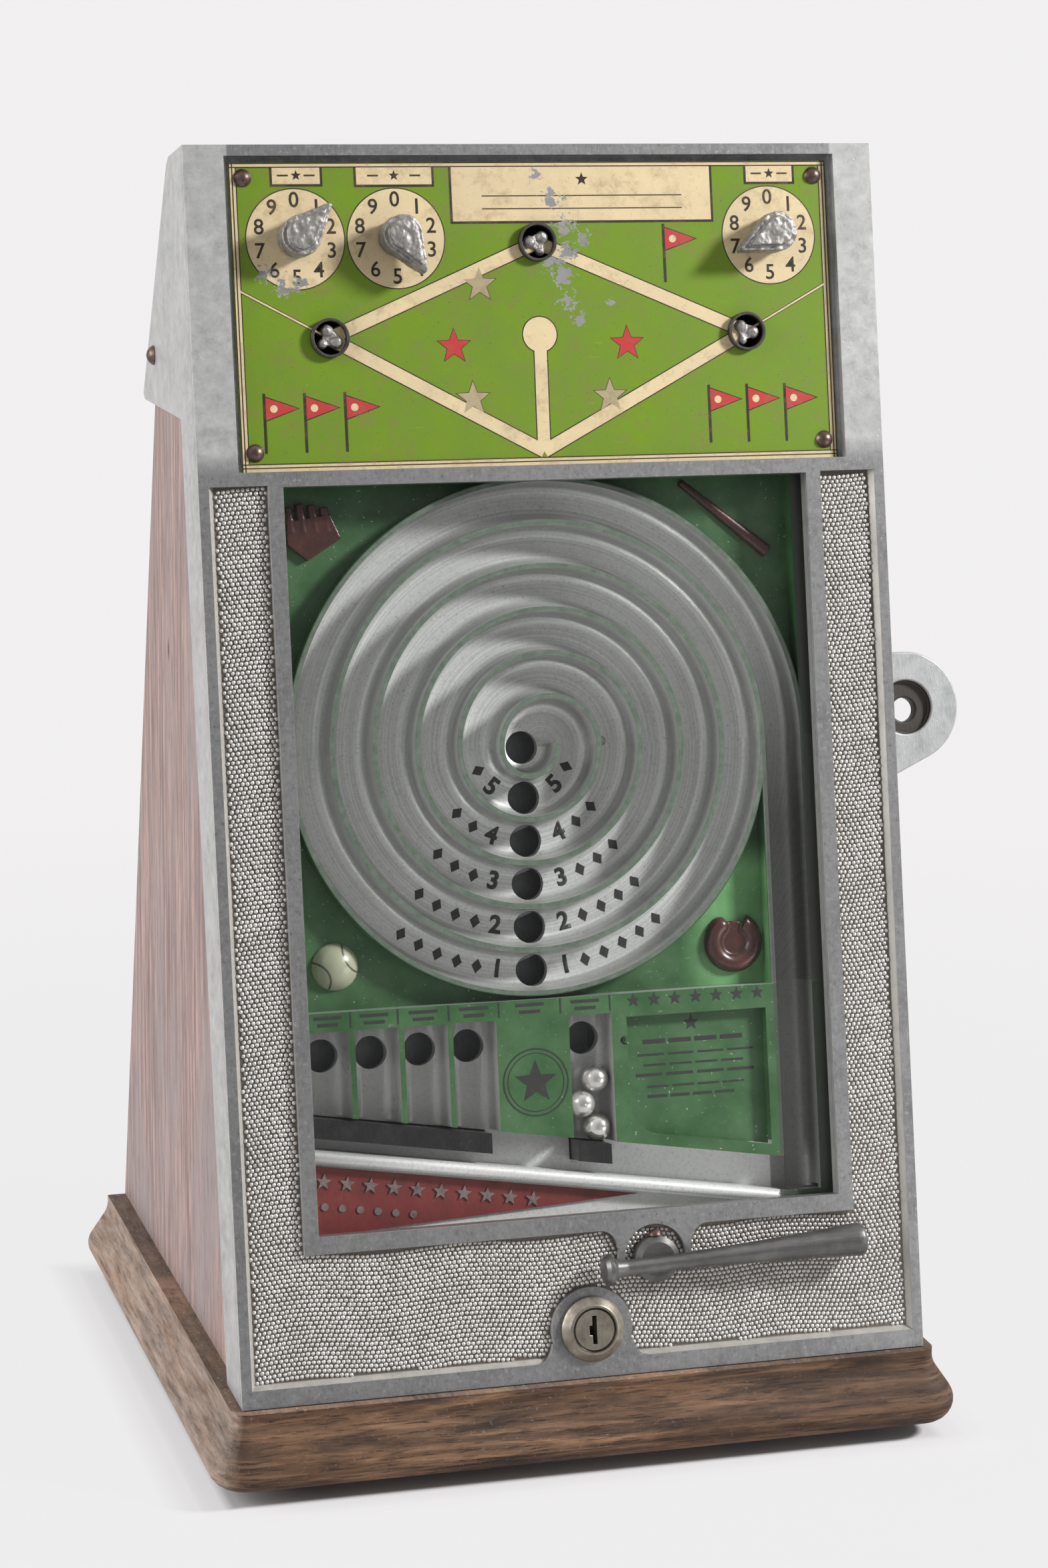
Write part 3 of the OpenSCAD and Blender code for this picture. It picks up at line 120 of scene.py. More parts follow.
def worldMm(tree, stretch=(1, 1, 1)):  # the object's own place in mm
    return stretched(put(tree, "ShaderNodeTexCoord").outputs["Object"], [1000 / s for s in stretch])


def faceMm(tree):  # the place on the leaning face, as u, v, w in mm
    sockets = {"Vector": put(tree, "ShaderNodeTexCoord").outputs["Object"], "Location": faceOrigin,
               "Rotation": (faceTurn, 0, 0), "Scale": (0.001, 0.001, 0.001)}
    return join("ShaderNodeMapping", sockets, vector_type="TEXTURE").outputs[0]


def split(vector):
    return join("ShaderNodeSeparateXYZ", {"Vector": vector}).outputs


def measure(how, a, b):  # one number from two vectors
    return join("ShaderNodeVectorMath", {0: a, 1: b}, operation=how).outputs["Value"]


def awayFrom(coords, place):  # distance along the leaning face
    flat = join("ShaderNodeVectorMath", {0: coords, 1: (1, 1, 0)}, operation="MULTIPLY").outputs[0]
    return measure("DISTANCE", flat, (*place, 0))


def cloud(coords, size, detail=4, rough=0.55, twist=0.0):  # size is a blotch's width in mm
    sockets = {"Vector": coords, "Scale": 1 / size, "Detail": detail, "Roughness": rough, "Distortion": twist}
    return join("ShaderNodeTexNoise", sockets).outputs["Fac"]


def pits(coords, size):
    return join("ShaderNodeTexVoronoi", {"Vector": coords, "Scale": 1 / size}).outputs["Distance"]


def span(value, low, high, toLow=0.0, toHigh=1.0):
    sockets = {"Value": value, "From Min": low, "From Max": high, "To Min": toLow, "To Max": toHigh}
    return join("ShaderNodeMapRange", sockets).outputs[0]


def past(value, limit, blur):
    return span(value, limit, limit + blur)


def within(value, limit, blur):
    return span(value, limit, limit + blur, 1, 0)


def calc(how, a, b=0.0):
    return join("ShaderNodeMath", {0: a, 1: b}, operation=how).outputs[0]


def product(first, *others):
    for other in others:
        first = calc("MULTIPLY", first, other)
    return first


def greatest(first, *others):
    for other in others:
        first = calc("MAXIMUM", first, other)
    return first


def rest(share):
    return calc("SUBTRACT", 1, share)


def offBy(value, level):  # how far a value is from a level, either way
    return calc("ABSOLUTE", calc("SUBTRACT", value, level))


def tint(amount, under, over):
    return join("ShaderNodeMix", {0: amount, 6: under, 7: over}, data_type="RGBA").outputs[2]


def ramp(value, stops):
    made = join("ShaderNodeValToRGB", {"Fac": value})
    points = made.color_ramp.elements
    while len(points) < len(stops):
        points.new(0.5)
    for point, (place, colour) in zip(points, stops):
        point.position = place
        point.color = (*colour, 1)
    return made.outputs["Color"]


def emboss(shader, height, strength, depth):  # depth in mm
    bump = join("ShaderNodeBump", {"Height": height, "Strength": strength, "Distance": depth / 1000})
    feed(shader.inputs["Normal"], bump.outputs[0])


# finishes

castLook = {"blotch": 22, "dark": (0.14, 0.145, 0.155), "mid": (0.235, 0.24, 0.25),
            "light": (0.36, 0.365, 0.375), "pitSize": 2.2, "pitDepth": 0.7, "pitColour": (0.07, 0.065, 0.06),
            "brush": (1.5, 1.5, 0.12), "brushDepth": 0.4, "brushShare": 0.25, "metallic": 0.75, "rough": 0.42,
            "bump": 0.12}


def agedMetal(name, **changes):  # cast or rolled metal with blotches, pits and fine brushing
    look = {**castLook, **changes}
    material, tree, shader = blankFinish(name)
    coords = worldMm(tree)
    blotch = cloud(coords, look["blotch"], 5, 0.6)
    colour = ramp(blotch, [(0.3, look["dark"]), (0.5, look["mid"]), (0.72, look["light"])])
    pit = span(pits(coords, look["pitSize"]), 0.05, 0.2, 1, 0)
    rare = span(cloud(coords, look["pitSize"] * 4, 2), 0.5, 0.6)
    pitShare = product(pit, rare, look["pitDepth"])
    colour = tint(pitShare, colour, look["pitColour"])
    brushed = cloud(stretched(coords, look["brush"]), 1.0, 3, 0.7)
    brushTone = ramp(brushed, [(0.3, look["dark"]), (0.7, look["light"])])
    colour = tint(look["brushShare"], colour, brushTone)
    grain = calc("SUBTRACT", product(brushed, look["brushDepth"]), pitShare)
    setSockets(shader, baseColor=colour, metallic=look["metallic"],
               roughness=span(blotch, 0.25, 0.75, look["rough"] + 0.12, look["rough"] - 0.08))
    emboss(shader, grain, 0.5, look["bump"])
    return material


def metal(name, tones, **changes):  # the cast metal in its own dark, mid and light tone
    return agedMetal(name, **dict(zip(("dark", "mid", "light"), tones)), **changes)


woodLook = {"fibre": 0.8, "dust": 1.6, "leftLightAndDust": 0.0, "topDust": 0.0, "dustAndLightColour": (0.56, 0.45, 0.38),
            "scuff": 3.2, "scuffStretch": (1, 9, 1), "rightDark": 0.0, "rightEnd": 140, "crumb": 1.2,
            "crumbs": 0.0, "crumbColour": (0.5, 0.45, 0.4)}


def grainyWood(name, **changes):  # grain runs along the direction with the largest stretch
    look = {**woodLook, **changes}
    material, tree, shader = blankFinish(name)
    place = worldMm(tree)
    coords = worldMm(tree, look["stretch"])
    broad = worldMm(tree, [math.sqrt(s) for s in look["stretch"]])
    leftward, _, upward = split(put(tree, "ShaderNodeTexCoord").outputs["Normal"])
    wave = cloud(coords, look["figure"], 6, 0.62, 0.6)
    fibre = cloud(coords, look["fibre"], 4, 0.75)
    streak = cloud(broad, look["patch"], 4, 0.6)
    stain = cloud(broad, look["stain"], 6, 0.65)
    dust = cloud(place, look["dust"], 5, 0.75)
    scuff = cloud(worldMm(tree, look["scuffStretch"]), look["scuff"], 8, 0.78)
    scuff = span(scuff, 0.38, 0.62, 0.2, 1)
    colour = ramp(wave, [(0.5 - look["spread"], look["dark"]), (0.5, look["mid"]),
                         (0.5 + look["spread"], look["light"])])
    for key, value, low, high in (("patch", streak, 0.44, 0.62), ("fibre", fibre, 0.53, 0.63),
                                  ("dust", dust, 0.6, 0.74), ("stain", stain, 0.53, 0.68)):
        colour = tint(span(value, low, high, 0, look[key + "Share"]), colour, look[key + "Colour"])
    # left-facing sides are paled with painted light mixed with dust, the tops with dust alone
    for key, value, low, high in (("leftLightAndDust", leftward, -0.35, -0.8), ("topDust", upward, 0.8, 0.95)):
        share = product(span(value, low, high, 0, look[key]), scuff)
        colour = tint(share, colour, look["dustAndLightColour"])
    rightShare = span(split(place)[0], 0, look["rightEnd"], 0, look["rightDark"])
    colour = tint(rightShare, colour, look["stainColour"])
    if "knot" in look:
        (y, z), (wide, tall) = look["knot"], look["knotSize"]
        off = measure("DISTANCE", worldMm(tree, (1e6, wide, tall)), (0, y / wide, z / tall))
        colour = tint(span(off, 0.4, 1.3, 0.9, 0), colour, look["knotColour"])
    crumb = product(span(cloud(place, look["crumb"], 3), 0.64, 0.7),
                    span(upward, 0.85, 0.95, 0, look["crumbs"]))
    colour = tint(crumb, colour, look["crumbColour"])
    setSockets(shader, baseColor=colour, specularIorLevel=look["shine"],
               roughness=span(fibre, 0.3, 0.7, look["rough"], look["rough"] + 0.15))
    emboss(shader, calc("ADD", wave, fibre), 0.4, look["bump"])
    return material


sideLook = {"stretch": (1, 1, 26), "figure": 2.4, "spread": 0.09, "dark": (0.2, 0.138, 0.13),
            "mid": (0.31, 0.222, 0.206), "light": (0.46, 0.3, 0.262), "patch": 26, "patchShare": 0.75,
            "patchColour": (0.29, 0.246, 0.242), "fibreShare": 0.9, "fibreColour": (0.13, 0.09, 0.086),
            "dustShare": 0.1, "dustColour": (0.45, 0.42, 0.4), "stain": 60, "stainShare": 0.3,
            "stainColour": (0.2, 0.165, 0.165), "rough": 0.6, "shine": 0.5, "bump": 0.15, "knot": (22, 268),
            "knotSize": (1.5, 4), "knotColour": (0.03, 0.02, 0.018)}
baseLook = {"stretch": (16, 16, 1), "figure": 3.4, "spread": 0.13, "dark": (0.028, 0.016, 0.011),
            "mid": (0.105, 0.06, 0.037), "light": (0.25, 0.14, 0.08), "patch": 16, "patchShare": 0.5,
            "patchColour": (0.14, 0.072, 0.036), "fibreShare": 0.8, "fibreColour": (0.016, 0.009, 0.007),
            "dustShare": 0.7, "dustColour": (0.3, 0.235, 0.19), "stain": 15, "stainShare": 0.75,
            "stainColour": (0.022, 0.014, 0.01), "leftLightAndDust": 0.57, "topDust": 0.26, "rightDark": 0.6,
            "crumbs": 0.6, "rough": 0.62, "shine": 0.25, "bump": 0.4}
innerLook = {"stretch": (20, 1, 1), "figure": 6, "spread": 0.16, "dark": (0.24, 0.16, 0.09),
             "mid": (0.38, 0.27, 0.16), "light": (0.47, 0.35, 0.22), "patch": 40, "patchShare": 0.4,
             "patchColour": (0.3, 0.22, 0.15), "fibreShare": 0.4, "fibreColour": (0.16, 0.1, 0.06),
             "dustShare": 0.1, "dustColour": (0.4, 0.36, 0.3), "stain": 50, "stainShare": 0.2,
             "stainColour": (0.2, 0.14, 0.09), "rough": 0.65, "shine": 0.4, "bump": 0.15}


def outwardShare(tree):  # how far a surface faces out of the leaning front, and sideways
    normal = put(tree, "ShaderNodeTexCoord").outputs["Normal"]
    outward = (0, -math.sin(faceTurn), math.cos(faceTurn))
    return measure("DOT_PRODUCT", normal, outward), calc("ABSOLUTE", split(normal)[0])


frontLook = {"tones": [(0.14, 0.139, 0.14), (0.235, 0.234, 0.234), (0.37, 0.37, 0.37)],
             "pale": (0.46, 0.46, 0.45), "worn": (0.42, 0.4, 0.36), "dirt": (0.16, 0.135, 0.11),
             "frameHalf": 107.2, "frameLow": 313.5, "floor": -2.5, "paleMetallic": 0.35}


def frontCastFinish():  # dark flats, pale sides and score frame, worn edges, pebbled ground darkened by dirt and painted shade
    look = frontLook
    dark, _, light = look["tones"]
    material = metal("castFront", look["tones"])
    tree, shader, colour = opened(material)
    coords = faceMm(tree)
    u, v, w = split(coords)
    facing, sideways = outwardShare(tree)
    mottle = span(cloud(coords, 6, 6, 0.7), 0.35, 0.65, 0.4, 1)
    speckle = cloud(coords, 2.2, 6, 0.8)
    colour = tint(span(speckle, 0.46, 0.34, 0, 0.85), colour, dark)
    colour = tint(span(speckle, 0.54, 0.66, 0, 0.85), colour, light)
    beside = past(calc("ABSOLUTE", u), look["frameHalf"], 0.6)
    above = past(v, look["frameLow"], 8)
    pale = greatest(span(sideways, 0.6, 0.85), product(beside, above))
    colour = tint(product(pale, mottle), colour, look["pale"])
    edge = product(span(facing, 0.985, 0.9), span(facing, 0.1, 0.35))
    colour = tint(product(edge, mottle), colour, look["worn"])
    # the recess floor between the beads darkened: dirt and painted shade
    colour = tint(span(offBy(w, look["floor"]), 0.12, 0.2, 0.9, 0), colour, look["dirt"])
    metallic = span(greatest(pale, edge), 0, 1, castLook["metallic"], look["paleMetallic"])
    setSockets(shader, baseColor=colour, metallic=metallic)
    return material


pebblePaint = {"floor": -2.5, "crown": -2.05, "gap": (0.27, 0.235, 0.2), "dull": (0.5, 0.485, 0.46),
               "bright": (0.62, 0.61, 0.59), "rust": (0.16, 0.09, 0.045)}


def pebbleFinish():
    look = pebblePaint
    material, tree, shader = blankFinish("pebbleCast")
    coords = faceMm(tree)
    # each bead darkens towards the floor: dirt and painted shade between the beads
    crown = span(split(coords)[2], look["floor"], look["crown"])
    bright = tint(span(cloud(coords, 9, 4), 0.35, 0.65), look["dull"], look["bright"])
    rust = span(cloud(coords, 5.5, 4, 0.6), 0.69, 0.74, 0, 0.7)
    colour = tint(rust, tint(crown, look["gap"], bright), look["rust"])
    setSockets(shader, baseColor=colour, metallic=0.6, roughness=0.42)
    return material


fieldLook = {"tones": [(0.54, 0.55, 0.53), (0.63, 0.64, 0.62), (0.72, 0.73, 0.71)], "metallic": 0.3,
             "green": [(0.026, 0.08, 0.026), (0.055, 0.128, 0.052)],
             # lit is painted light on the green near the right-hand channel
             "lit": [(0.09, 0.24, 0.085), (0.15, 0.33, 0.14)], "litAcross": (44, 58), "litUp": (182, 172),
             "top": -8.8, "ground": -16.3, "card": -12.8, "deckTop": 131.3, "laneLeft": 75.2,
             "wallLeft": 90.4, "bend": 218.1, "upperHub": (-1.5, 218.1), "upperRadius": 92.8,
             "lowerHub": (-9, 218.1), "lowerRadius": 85.3, "cardBox": (18.9, 75.0, 76.0, 125.2),
             # shade is painted shadow on the right-hand channel and the window's right wall
             "shade": (0.05, 0.05, 0.045), "streak": (0.26, 0.265, 0.255), "bright": (0.7, 0.71, 0.69),
             # grime is grime with painted shade on the gutter walls
             "grime": (0.13, 0.135, 0.125), "ridge": (0.026, 0.058, 0.026), "pocket": (0.17, 0.17, 0.163)}


def levelShare(w, level):
    return span(offBy(w, level), 0.25, 0.4, 1, 0)


def playfieldFinish():  # bare gutters, green on the ground, the deck, the card and the worn ridge tops
    look = fieldLook
    material = metal("playfieldCast", look["tones"], blotch=40, metallic=look["metallic"], rough=0.32,
                     brush=(1, 1, 1), bump=0.06)
    tree, shader, bare = opened(material)
    coords = faceMm(tree)
    u, v, w = split(coords)
    facing = outwardShare(tree)[0]
    deck = within(v, look["deckTop"] - 0.3, 0.6)
    offDeck = rest(deck)
    upper = past(v, look["bend"] - 0.1, 0.2)
    lower = rest(upper)
    rightOfField = past(u, look["laneLeft"], 0.6)
    upperAway = awayFrom(coords, look["upperHub"])
    lowerAway = awayFrom(coords, look["lowerHub"])
    left, right, low, high = look["cardBox"]

    # where the green lies
    wear = cloud(coords, 3.2, 5, 0.65)
    top = levelShare(w, look["top"])
    topPaint = product(greatest(deck, span(wear, 0.35, 0.7, 0.9, 0.45)), top)
    paint = greatest(topPaint, levelShare(w, look["ground"]), levelShare(w, look["card"]))
    paint = product(paint, span(facing, 0.9, 0.96))
    overUpper = past(upperAway, look["upperRadius"], 0.3)
    overLower = past(lowerAway, look["lowerRadius"], 0.3)
    beyond = calc("ADD", product(upper, overUpper), product(lower, overLower))
    beyond = product(beyond, rest(product(rightOfField, lower)), offDeck)
    inCard = product(past(u, left, 0.1), within(u, right, 0.1), past(v, low, 0.1), within(v, high, 0.1),
                     past(w, look["card"] - 0.4, 0.2))
    chip = span(cloud(coords, 1.3, 4, 0.7), 0.66, 0.7, 0, 0.8)
    paint = greatest(calc("SUBTRACT", greatest(paint, beyond, inCard), chip), 0)
    ridge = product(top, offDeck)
    paint = greatest(paint, product(ridge, span(wear, 0.35, 0.7, 0.9, 0.78)))

    # the green, with painted light near the right-hand channel, and darker on the ridges
    blotch = span(cloud(coords, 14, 5), 0.35, 0.65)
    paintedLightNearLane = product(span(u, *look["litAcross"]), span(v, *look["litUp"]), offDeck)
    green = tint(paintedLightNearLane, tint(blotch, *look["green"]), tint(blotch, *look["lit"]))
    green = tint(ridge, green, look["ridge"])

    # the bare metal: speckled, turned in rings, with grime and painted shade up the gutters' walls
    grain = cloud(coords, 1.1, 6, 0.8)
    bare = tint(span(grain, 0.47, 0.35, 0, 0.5), bare, look["streak"])
    bare = tint(span(grain, 0.53, 0.65, 0, 0.5), bare, look["bright"])
    away = calc("ADD", product(upper, upperAway), product(lower, lowerAway))
    turned = put(tree, "ShaderNodeTexNoise", {"W": away, "Scale": 1.1, "Detail": 4, "Roughness": 0.7},
                 noise_dimensions="1D").outputs["Fac"]
    bare = tint(product(span(turned, 0.42, 0.6, 0.32, 0), offDeck), bare, look["streak"])
    # grime and painted shade where the gutter walls steepen
    bare = tint(product(span(facing, 0.95, 0.6, 0, 0.48), offDeck), bare, look["grime"])
    pockets = product(deck, span(u, left - 1, left, 0.5, 0), past(v, low, 6))
    bare = tint(pockets, bare, look["pocket"])

    # painted shadow: the right-hand channel and the window's right wall are darkened towards the shade colour
    laneShadow = product(rightOfField, span(v, look["bend"] - 30, look["bend"] + 40, 0.7, 0))
    paintedShadowShare = greatest(span(u, look["wallLeft"], look["wallLeft"] + 0.6, 0, 0.85), laneShadow)
    colour = tint(paintedShadowShare, tint(paint, bare, green), look["shade"])
    setSockets(shader, baseColor=colour, metallic=span(paint, 0, 1, look["metallic"], 0))
    return material


cupLook = {"tones": [(0.03, 0.026, 0.022), (0.06, 0.053, 0.046), (0.12, 0.11, 0.1)],
           "places": [(-74.5, 359.4), (0, 391.2), (74.5, 359.4)], "well": 5.8, "wellTop": -1.6,
           "dark": (0.006, 0.006, 0.006)}


def cupFinish():  # dark eyelets with black wells
    look = cupLook
    material = metal("markerCups", look["tones"], blotch=3, rough=0.5)
    tree, shader, rim = opened(material)
    coords = faceMm(tree)
    depth = split(coords)[2]
    nearest = 100.0
    for place in look["places"]:
        nearest = calc("MINIMUM", awayFrom(coords, place), nearest)
    inside = product(within(nearest, look["well"], 0.1), within(depth, look["wellTop"] - 0.4, 0.4))
    setSockets(shader, baseColor=tint(inside, rim, look["dark"]),
               metallic=span(inside, 0, 1, castLook["metallic"], 0))
    return material


def topOf(node):  # how far a node reaches out of the leaning face
    toFace = faceToWorld.inverted()
    return max((toFace @ vertex.co).z for vertex in frame["nodes"][node].data.vertices)


slideLook = {"tones": [(0.25, 0.255, 0.255), (0.37, 0.375, 0.375), (0.5, 0.505, 0.5)], "metallic": 0.5,
             "seat": (140, 226), "seatRadius": 9.75, "seatDeep": 2.2, "stain": (0.028, 0.022, 0.017)}


def slideFinish():  # pale cast slide with a stained coin seat
    look = slideLook
    material = metal("slideMetal", look["tones"], blotch=7, pitSize=1.1, bump=0.3, rough=0.5,
                     metallic=look["metallic"])
    tree, shader, clean = opened(material)
    coords = faceMm(tree)
    away = awayFrom(coords, look["seat"])
    low = topOf("coin_slide") - look["seatDeep"]
    seat = product(within(away, look["seatRadius"], 0.1),
                   within(split(coords)[2], low + 1.2, 0.6))
    setSockets(shader, baseColor=tint(seat, clean, look["stain"]),
               metallic=span(seat, 0, 1, look["metallic"], 0))
    return material


reliefLook = {"tones": [(0.024, 0.008, 0.006), (0.05, 0.017, 0.013), (0.085, 0.032, 0.025)],
              "ball": (-80, 146), "ballRadius": 10.5, "ballColour": (0.3, 0.32, 0.22),
              "seam": (0.07, 0.065, 0.05), "seamAway": 11.2, "seamRadius": 7.6, "seamTilt": 28}


def reliefFinish():  # glossy brown ornaments and one pale stitched ball
    look = reliefLook
    material = metal("reliefBrown", look["tones"], blotch=6, metallic=0.0, rough=0.28, bump=0.05)
    tree, shader, brown = opened(material)
    coords = faceMm(tree)
    away = awayFrom(coords, look["ball"])
    ball = within(away, look["ballRadius"], 0.3)
    seam = 0.0
    for side in (0, 180):
        turn = math.radians(look["seamTilt"] + side)
        hub = Vector(look["ball"]) + look["seamAway"] * Vector((math.cos(turn), math.sin(turn)))
        off = offBy(awayFrom(coords, hub), look["seamRadius"])
        seam = greatest(span(off, 0.25, 0.45, 1, 0), seam)
    pale = tint(seam, look["ballColour"], look["seam"])
    setSockets(shader, baseColor=tint(ball, brown, pale))
    return material


lockLook = {"tones": [(0.13, 0.11, 0.085), (0.25, 0.22, 0.18), (0.4, 0.365, 0.31)], "hub": (1, 17.2),
            "plugRadius": 7.35, "groove": 0.3, "grime": (0.035, 0.028, 0.022)}


def lockFinish():  # worn nickel with a grimy groove round the plug
    look = lockLook
    material = metal("lockNickel", look["tones"], blotch=5, rough=0.32, bump=0.06)
    tree, shader, clean = opened(material)
    off = offBy(awayFrom(faceMm(tree), look["hub"]), look["plugRadius"])
    groove = within(off, look["groove"], 0.2)
    setSockets(shader, baseColor=tint(groove, clean, look["grime"]))
    return material


# printed score panel: a field of green with dials, plates and base paths
printLook = {"green": (0.142, 0.245, 0.008), "cream": (0.66, 0.53, 0.32), "ink": (0.025, 0.018, 0.012),
             "red": (0.46, 0.035, 0.035), "tan": (0.4, 0.33, 0.2), "bare": (0.32, 0.31, 0.31),
             "flakes": [(1, 414, 5), (6, 406, 7), (10, 397, 8), (11, 388, 8), (9, 380, 8), (11, 371, 7),
                        (4, 384, 6), (14, 364, 5), (17, 392, 5), (-96, 381, 6), (-90, 377, 7), (-83, 378, 5),
                        (26, 370, 3)],
             "grime": (0.2, 0.13, 0.06)}


def printFinish(name, colour):
    material, tree, shader = blankFinish(name)
    coords = faceMm(tree)
    worn = 0.0
    for u, v, radius in printLook["flakes"]:
        worn = greatest(span(awayFrom(coords, (u, v)), 0, radius, 0.34, 0), worn)
    rough = cloud(coords, 2.4, 6, 0.68, 0.4)
    flake = span(calc("ADD", rough, worn), 0.715, 0.735)
    scratchCoords = stretched(coords, (0.12, 2.2, 1), (0, 0, 0.7))
    scratch = span(cloud(scratchCoords, 1.4, 2, 0.5), 0.74, 0.78, 0, 0.35)
    speck = span(cloud(coords, 0.7, 2), 0.68, 0.76, 0, 0.6)
    broad = cloud(coords, 22, 5, 0.62)
    shade = tint(span(broad, 0.35, 0.7, 0, 0.55), colour, [c * 0.68 for c in colour])
    dirty = span(cloud(coords, 7, 6, 0.75), 0.5, 0.72, 0, 0.5)
    shade = tint(dirty, shade, printLook["grime"])
    shade = tint(scratch, shade, [min(1, c * 1.5 + 0.05) for c in colour])
    shade = tint(speck, shade, printLook["ink"])
    shade = tint(flake, shade, printLook["bare"])
    setSockets(shader, baseColor=shade, roughness=span(broad, 0.3, 0.7, 0.34, 0.48),
               metallic=span(flake, 0, 1, 0, 0.7))
    emboss(shader, product(flake, -1), 0.6, 0.08)
    return material


glassLook = {"tone": (0.8, 0.82, 0.8), "rough": 0.06, "speck": 0.8, "haze": (0.004, 0.12)}


def hazyGlass():
    look = glassLook
    material, tree, shader = blankFinish("windowGlass")
    dust = span(cloud(worldMm(tree), look["speck"], 4, 0.7), 0.64, 0.82, *look["haze"])
    setSockets(shader, baseColor=look["tone"], roughness=look["rough"], alpha=dust)
    return material


def greys(*values):
    return [(value, value, value) for value in values]


finishes = {
    "side_wood": grainyWood("sideWood", **sideLook),
    "base_wood": grainyWood("baseWood", **baseLook),
    "inner_wood": grainyWood("innerWood", **innerLook),
    "casting": frontCastFinish(),
    "pebbles": pebbleFinish(),
    "hood": agedMetal("hoodSheet", blotch=35, pitDepth=0.3),
    "brown_steel": metal("brownPins", [(0.05, 0.03, 0.025), (0.11, 0.07, 0.06), (0.2, 0.14, 0.12)],
                         blotch=2.5, rough=0.35),
    "steel": metal("plainSteel", [(0.3, 0.29, 0.28), (0.4, 0.4, 0.4), (0.5, 0.5, 0.5)], pitDepth=0.3),
    "cast_knob": metal("castKnobs", [(0.14, 0.133, 0.125), (0.26, 0.247, 0.232), (0.4, 0.385, 0.365)],
                       blotch=4, pitSize=1.2, bump=0.3, rough=0.5),
    "cup": cupFinish(),
    "ball_steel": metal("ballSteel", [(0.5, 0.49, 0.46), (0.6, 0.59, 0.56), (0.7, 0.69, 0.66)],
                        pitDepth=0.2, rough=0.2, bump=0.03),
    "black_bar": metal("blackBar", greys(0.008, 0.016, 0.03), blotch=8, rough=0.2, metallic=0.0, bump=0.03),
    "bat_metal": metal("batSteel", [(0.066, 0.064, 0.062), (0.118, 0.115, 0.113), (0.21, 0.206, 0.202)],
                       blotch=12, brush=(0.15, 1.5, 1.5), rough=0.36),
    "bushing_brass": metal("bushingBrass", [(0.35, 0.24, 0.09), (0.5, 0.36, 0.14), (0.6, 0.45, 0.2)]),
    "lock_nickel": lockFinish(),
    "slide_metal": slideFinish(),
    "foot_iron": metal("footIron", greys(0.03, 0.05, 0.09)),
    "red_paint": metal("redField", [(0.08, 0.008, 0.007), (0.145, 0.015, 0.013), (0.18, 0.03, 0.026)],
                       blotch=9, metallic=0.0, rough=0.5),
    "relief_paint": reliefFinish(),
    "score_print": printFinish("scoreGreen", printLook["green"]),
    "playfield_paint": playfieldFinish(),
    "window_glass": hazyGlass(),
}

for part in frame["record"]["subparts"]:
    node = frame["nodes"][part["node"]]
    for slot in node.material_slots:
        slot.link = "OBJECT"
        slot.material = finishes[part["material_slot"]]
print("finishes made:", len(finishes))

# mesh building

bodyOf = {node: body for body, nodes in frame["record"]["behaviour"]["bodies"].items() for node in nodes}
slotOf = {part["node"]: part["material_slot"] for part in frame["record"]["subparts"]}


def meshOf(name, bm):
    mesh = bpy.data.meshes.new(name)
    bm.to_mesh(mesh)
    bm.free()
    return mesh


def linked(name, data):  # a new object in the scene
    made = bpy.data.objects.new(name, data)
    bpy.context.scene.collection.objects.link(made)
    return made


def settle(name, bm, finish, body, onFace=True):  # a finished mesh becomes a riding piece
    if onFace:
        bmesh.ops.transform(bm, matrix=faceToWorld, verts=bm.verts)
    mesh = meshOf(name, bm)
    mesh.materials.append(finish)
    piece = linked(name, mesh)
    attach(piece, body)
    return piece


def mergedCopy(node):
    bm = bmesh.new()
    bm.from_mesh(frame["nodes"][node].data)
    bmesh.ops.remove_doubles(bm, verts=bm.verts, dist=2e-6)
    return bm


def standIn(node, ending, bm):  # a worked copy of a solid, in the solid's own finish
    slot = slotOf[node]
    return settle(node + ending, bm, finishes[slot], bodyOf[node], onFace=False)


def modify(piece, name, kind, **settings):
    change(piece.modifiers.new(name, kind), **settings)


softLook = {"crease": 35, "flat": 0.3, "segments": 2}  # angles in degrees


def softCopy(node, rounding):  # the solid with rounded edges and smooth curves
    bm = mergedCopy(node)
    crease = math.radians(softLook["crease"])
    bmesh.ops.dissolve_limit(bm, angle_limit=math.radians(softLook["flat"]), use_dissolve_boundaries=False,
                             verts=bm.verts, edges=bm.edges, delimit=set())
    for edge in bm.edges:
        edge.smooth = edge.is_manifold and edge.calc_face_angle() < crease
    for side in bm.faces:
        side.smooth = True
    piece = standIn(node, "Skin", bm)
    if rounding:
        modify(piece, "roundedEdges", "BEVEL", width=rounding / 1000, segments=softLook["segments"],
               limit_method="ANGLE", angle_limit=crease, use_clamp_overlap=True)
    modify(piece, "evenShade", "WEIGHTED_NORMAL", keep_sharp=True)
    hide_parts(node)


def castCopy(node, look):  # the solid softened and roughened, as poured metal is
    piece = standIn(node, "Cast", mergedCopy(node))
    modify(piece, "evenSkin", "REMESH", mode="VOXEL", voxel_size=look["voxel"] / 1000, use_smooth_shade=True)
    modify(piece, "soften", "SMOOTH", factor=0.5, iterations=look["soften"])
    if "lumps" in look:
        lumps = bpy.data.textures.new(node + "Lumps", "CLOUDS")
        lumps.noise_scale = look["lumpSize"] / 1000
        modify(piece, "lumps", "DISPLACE", texture=lumps, texture_coords="LOCAL",
               strength=look["lumps"] / 1000, mid_level=0.5)
    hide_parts(node)


def faceSurface(node):  # ray target in face millimetres
    bm = mergedCopy(node)
    bmesh.ops.transform(bm, matrix=faceToWorld.inverted(), verts=bm.verts)
    tree = BVHTree.FromBMesh(bm)
    bm.free()
    return tree


rayStart = 40.0  # mm out of the leaning face


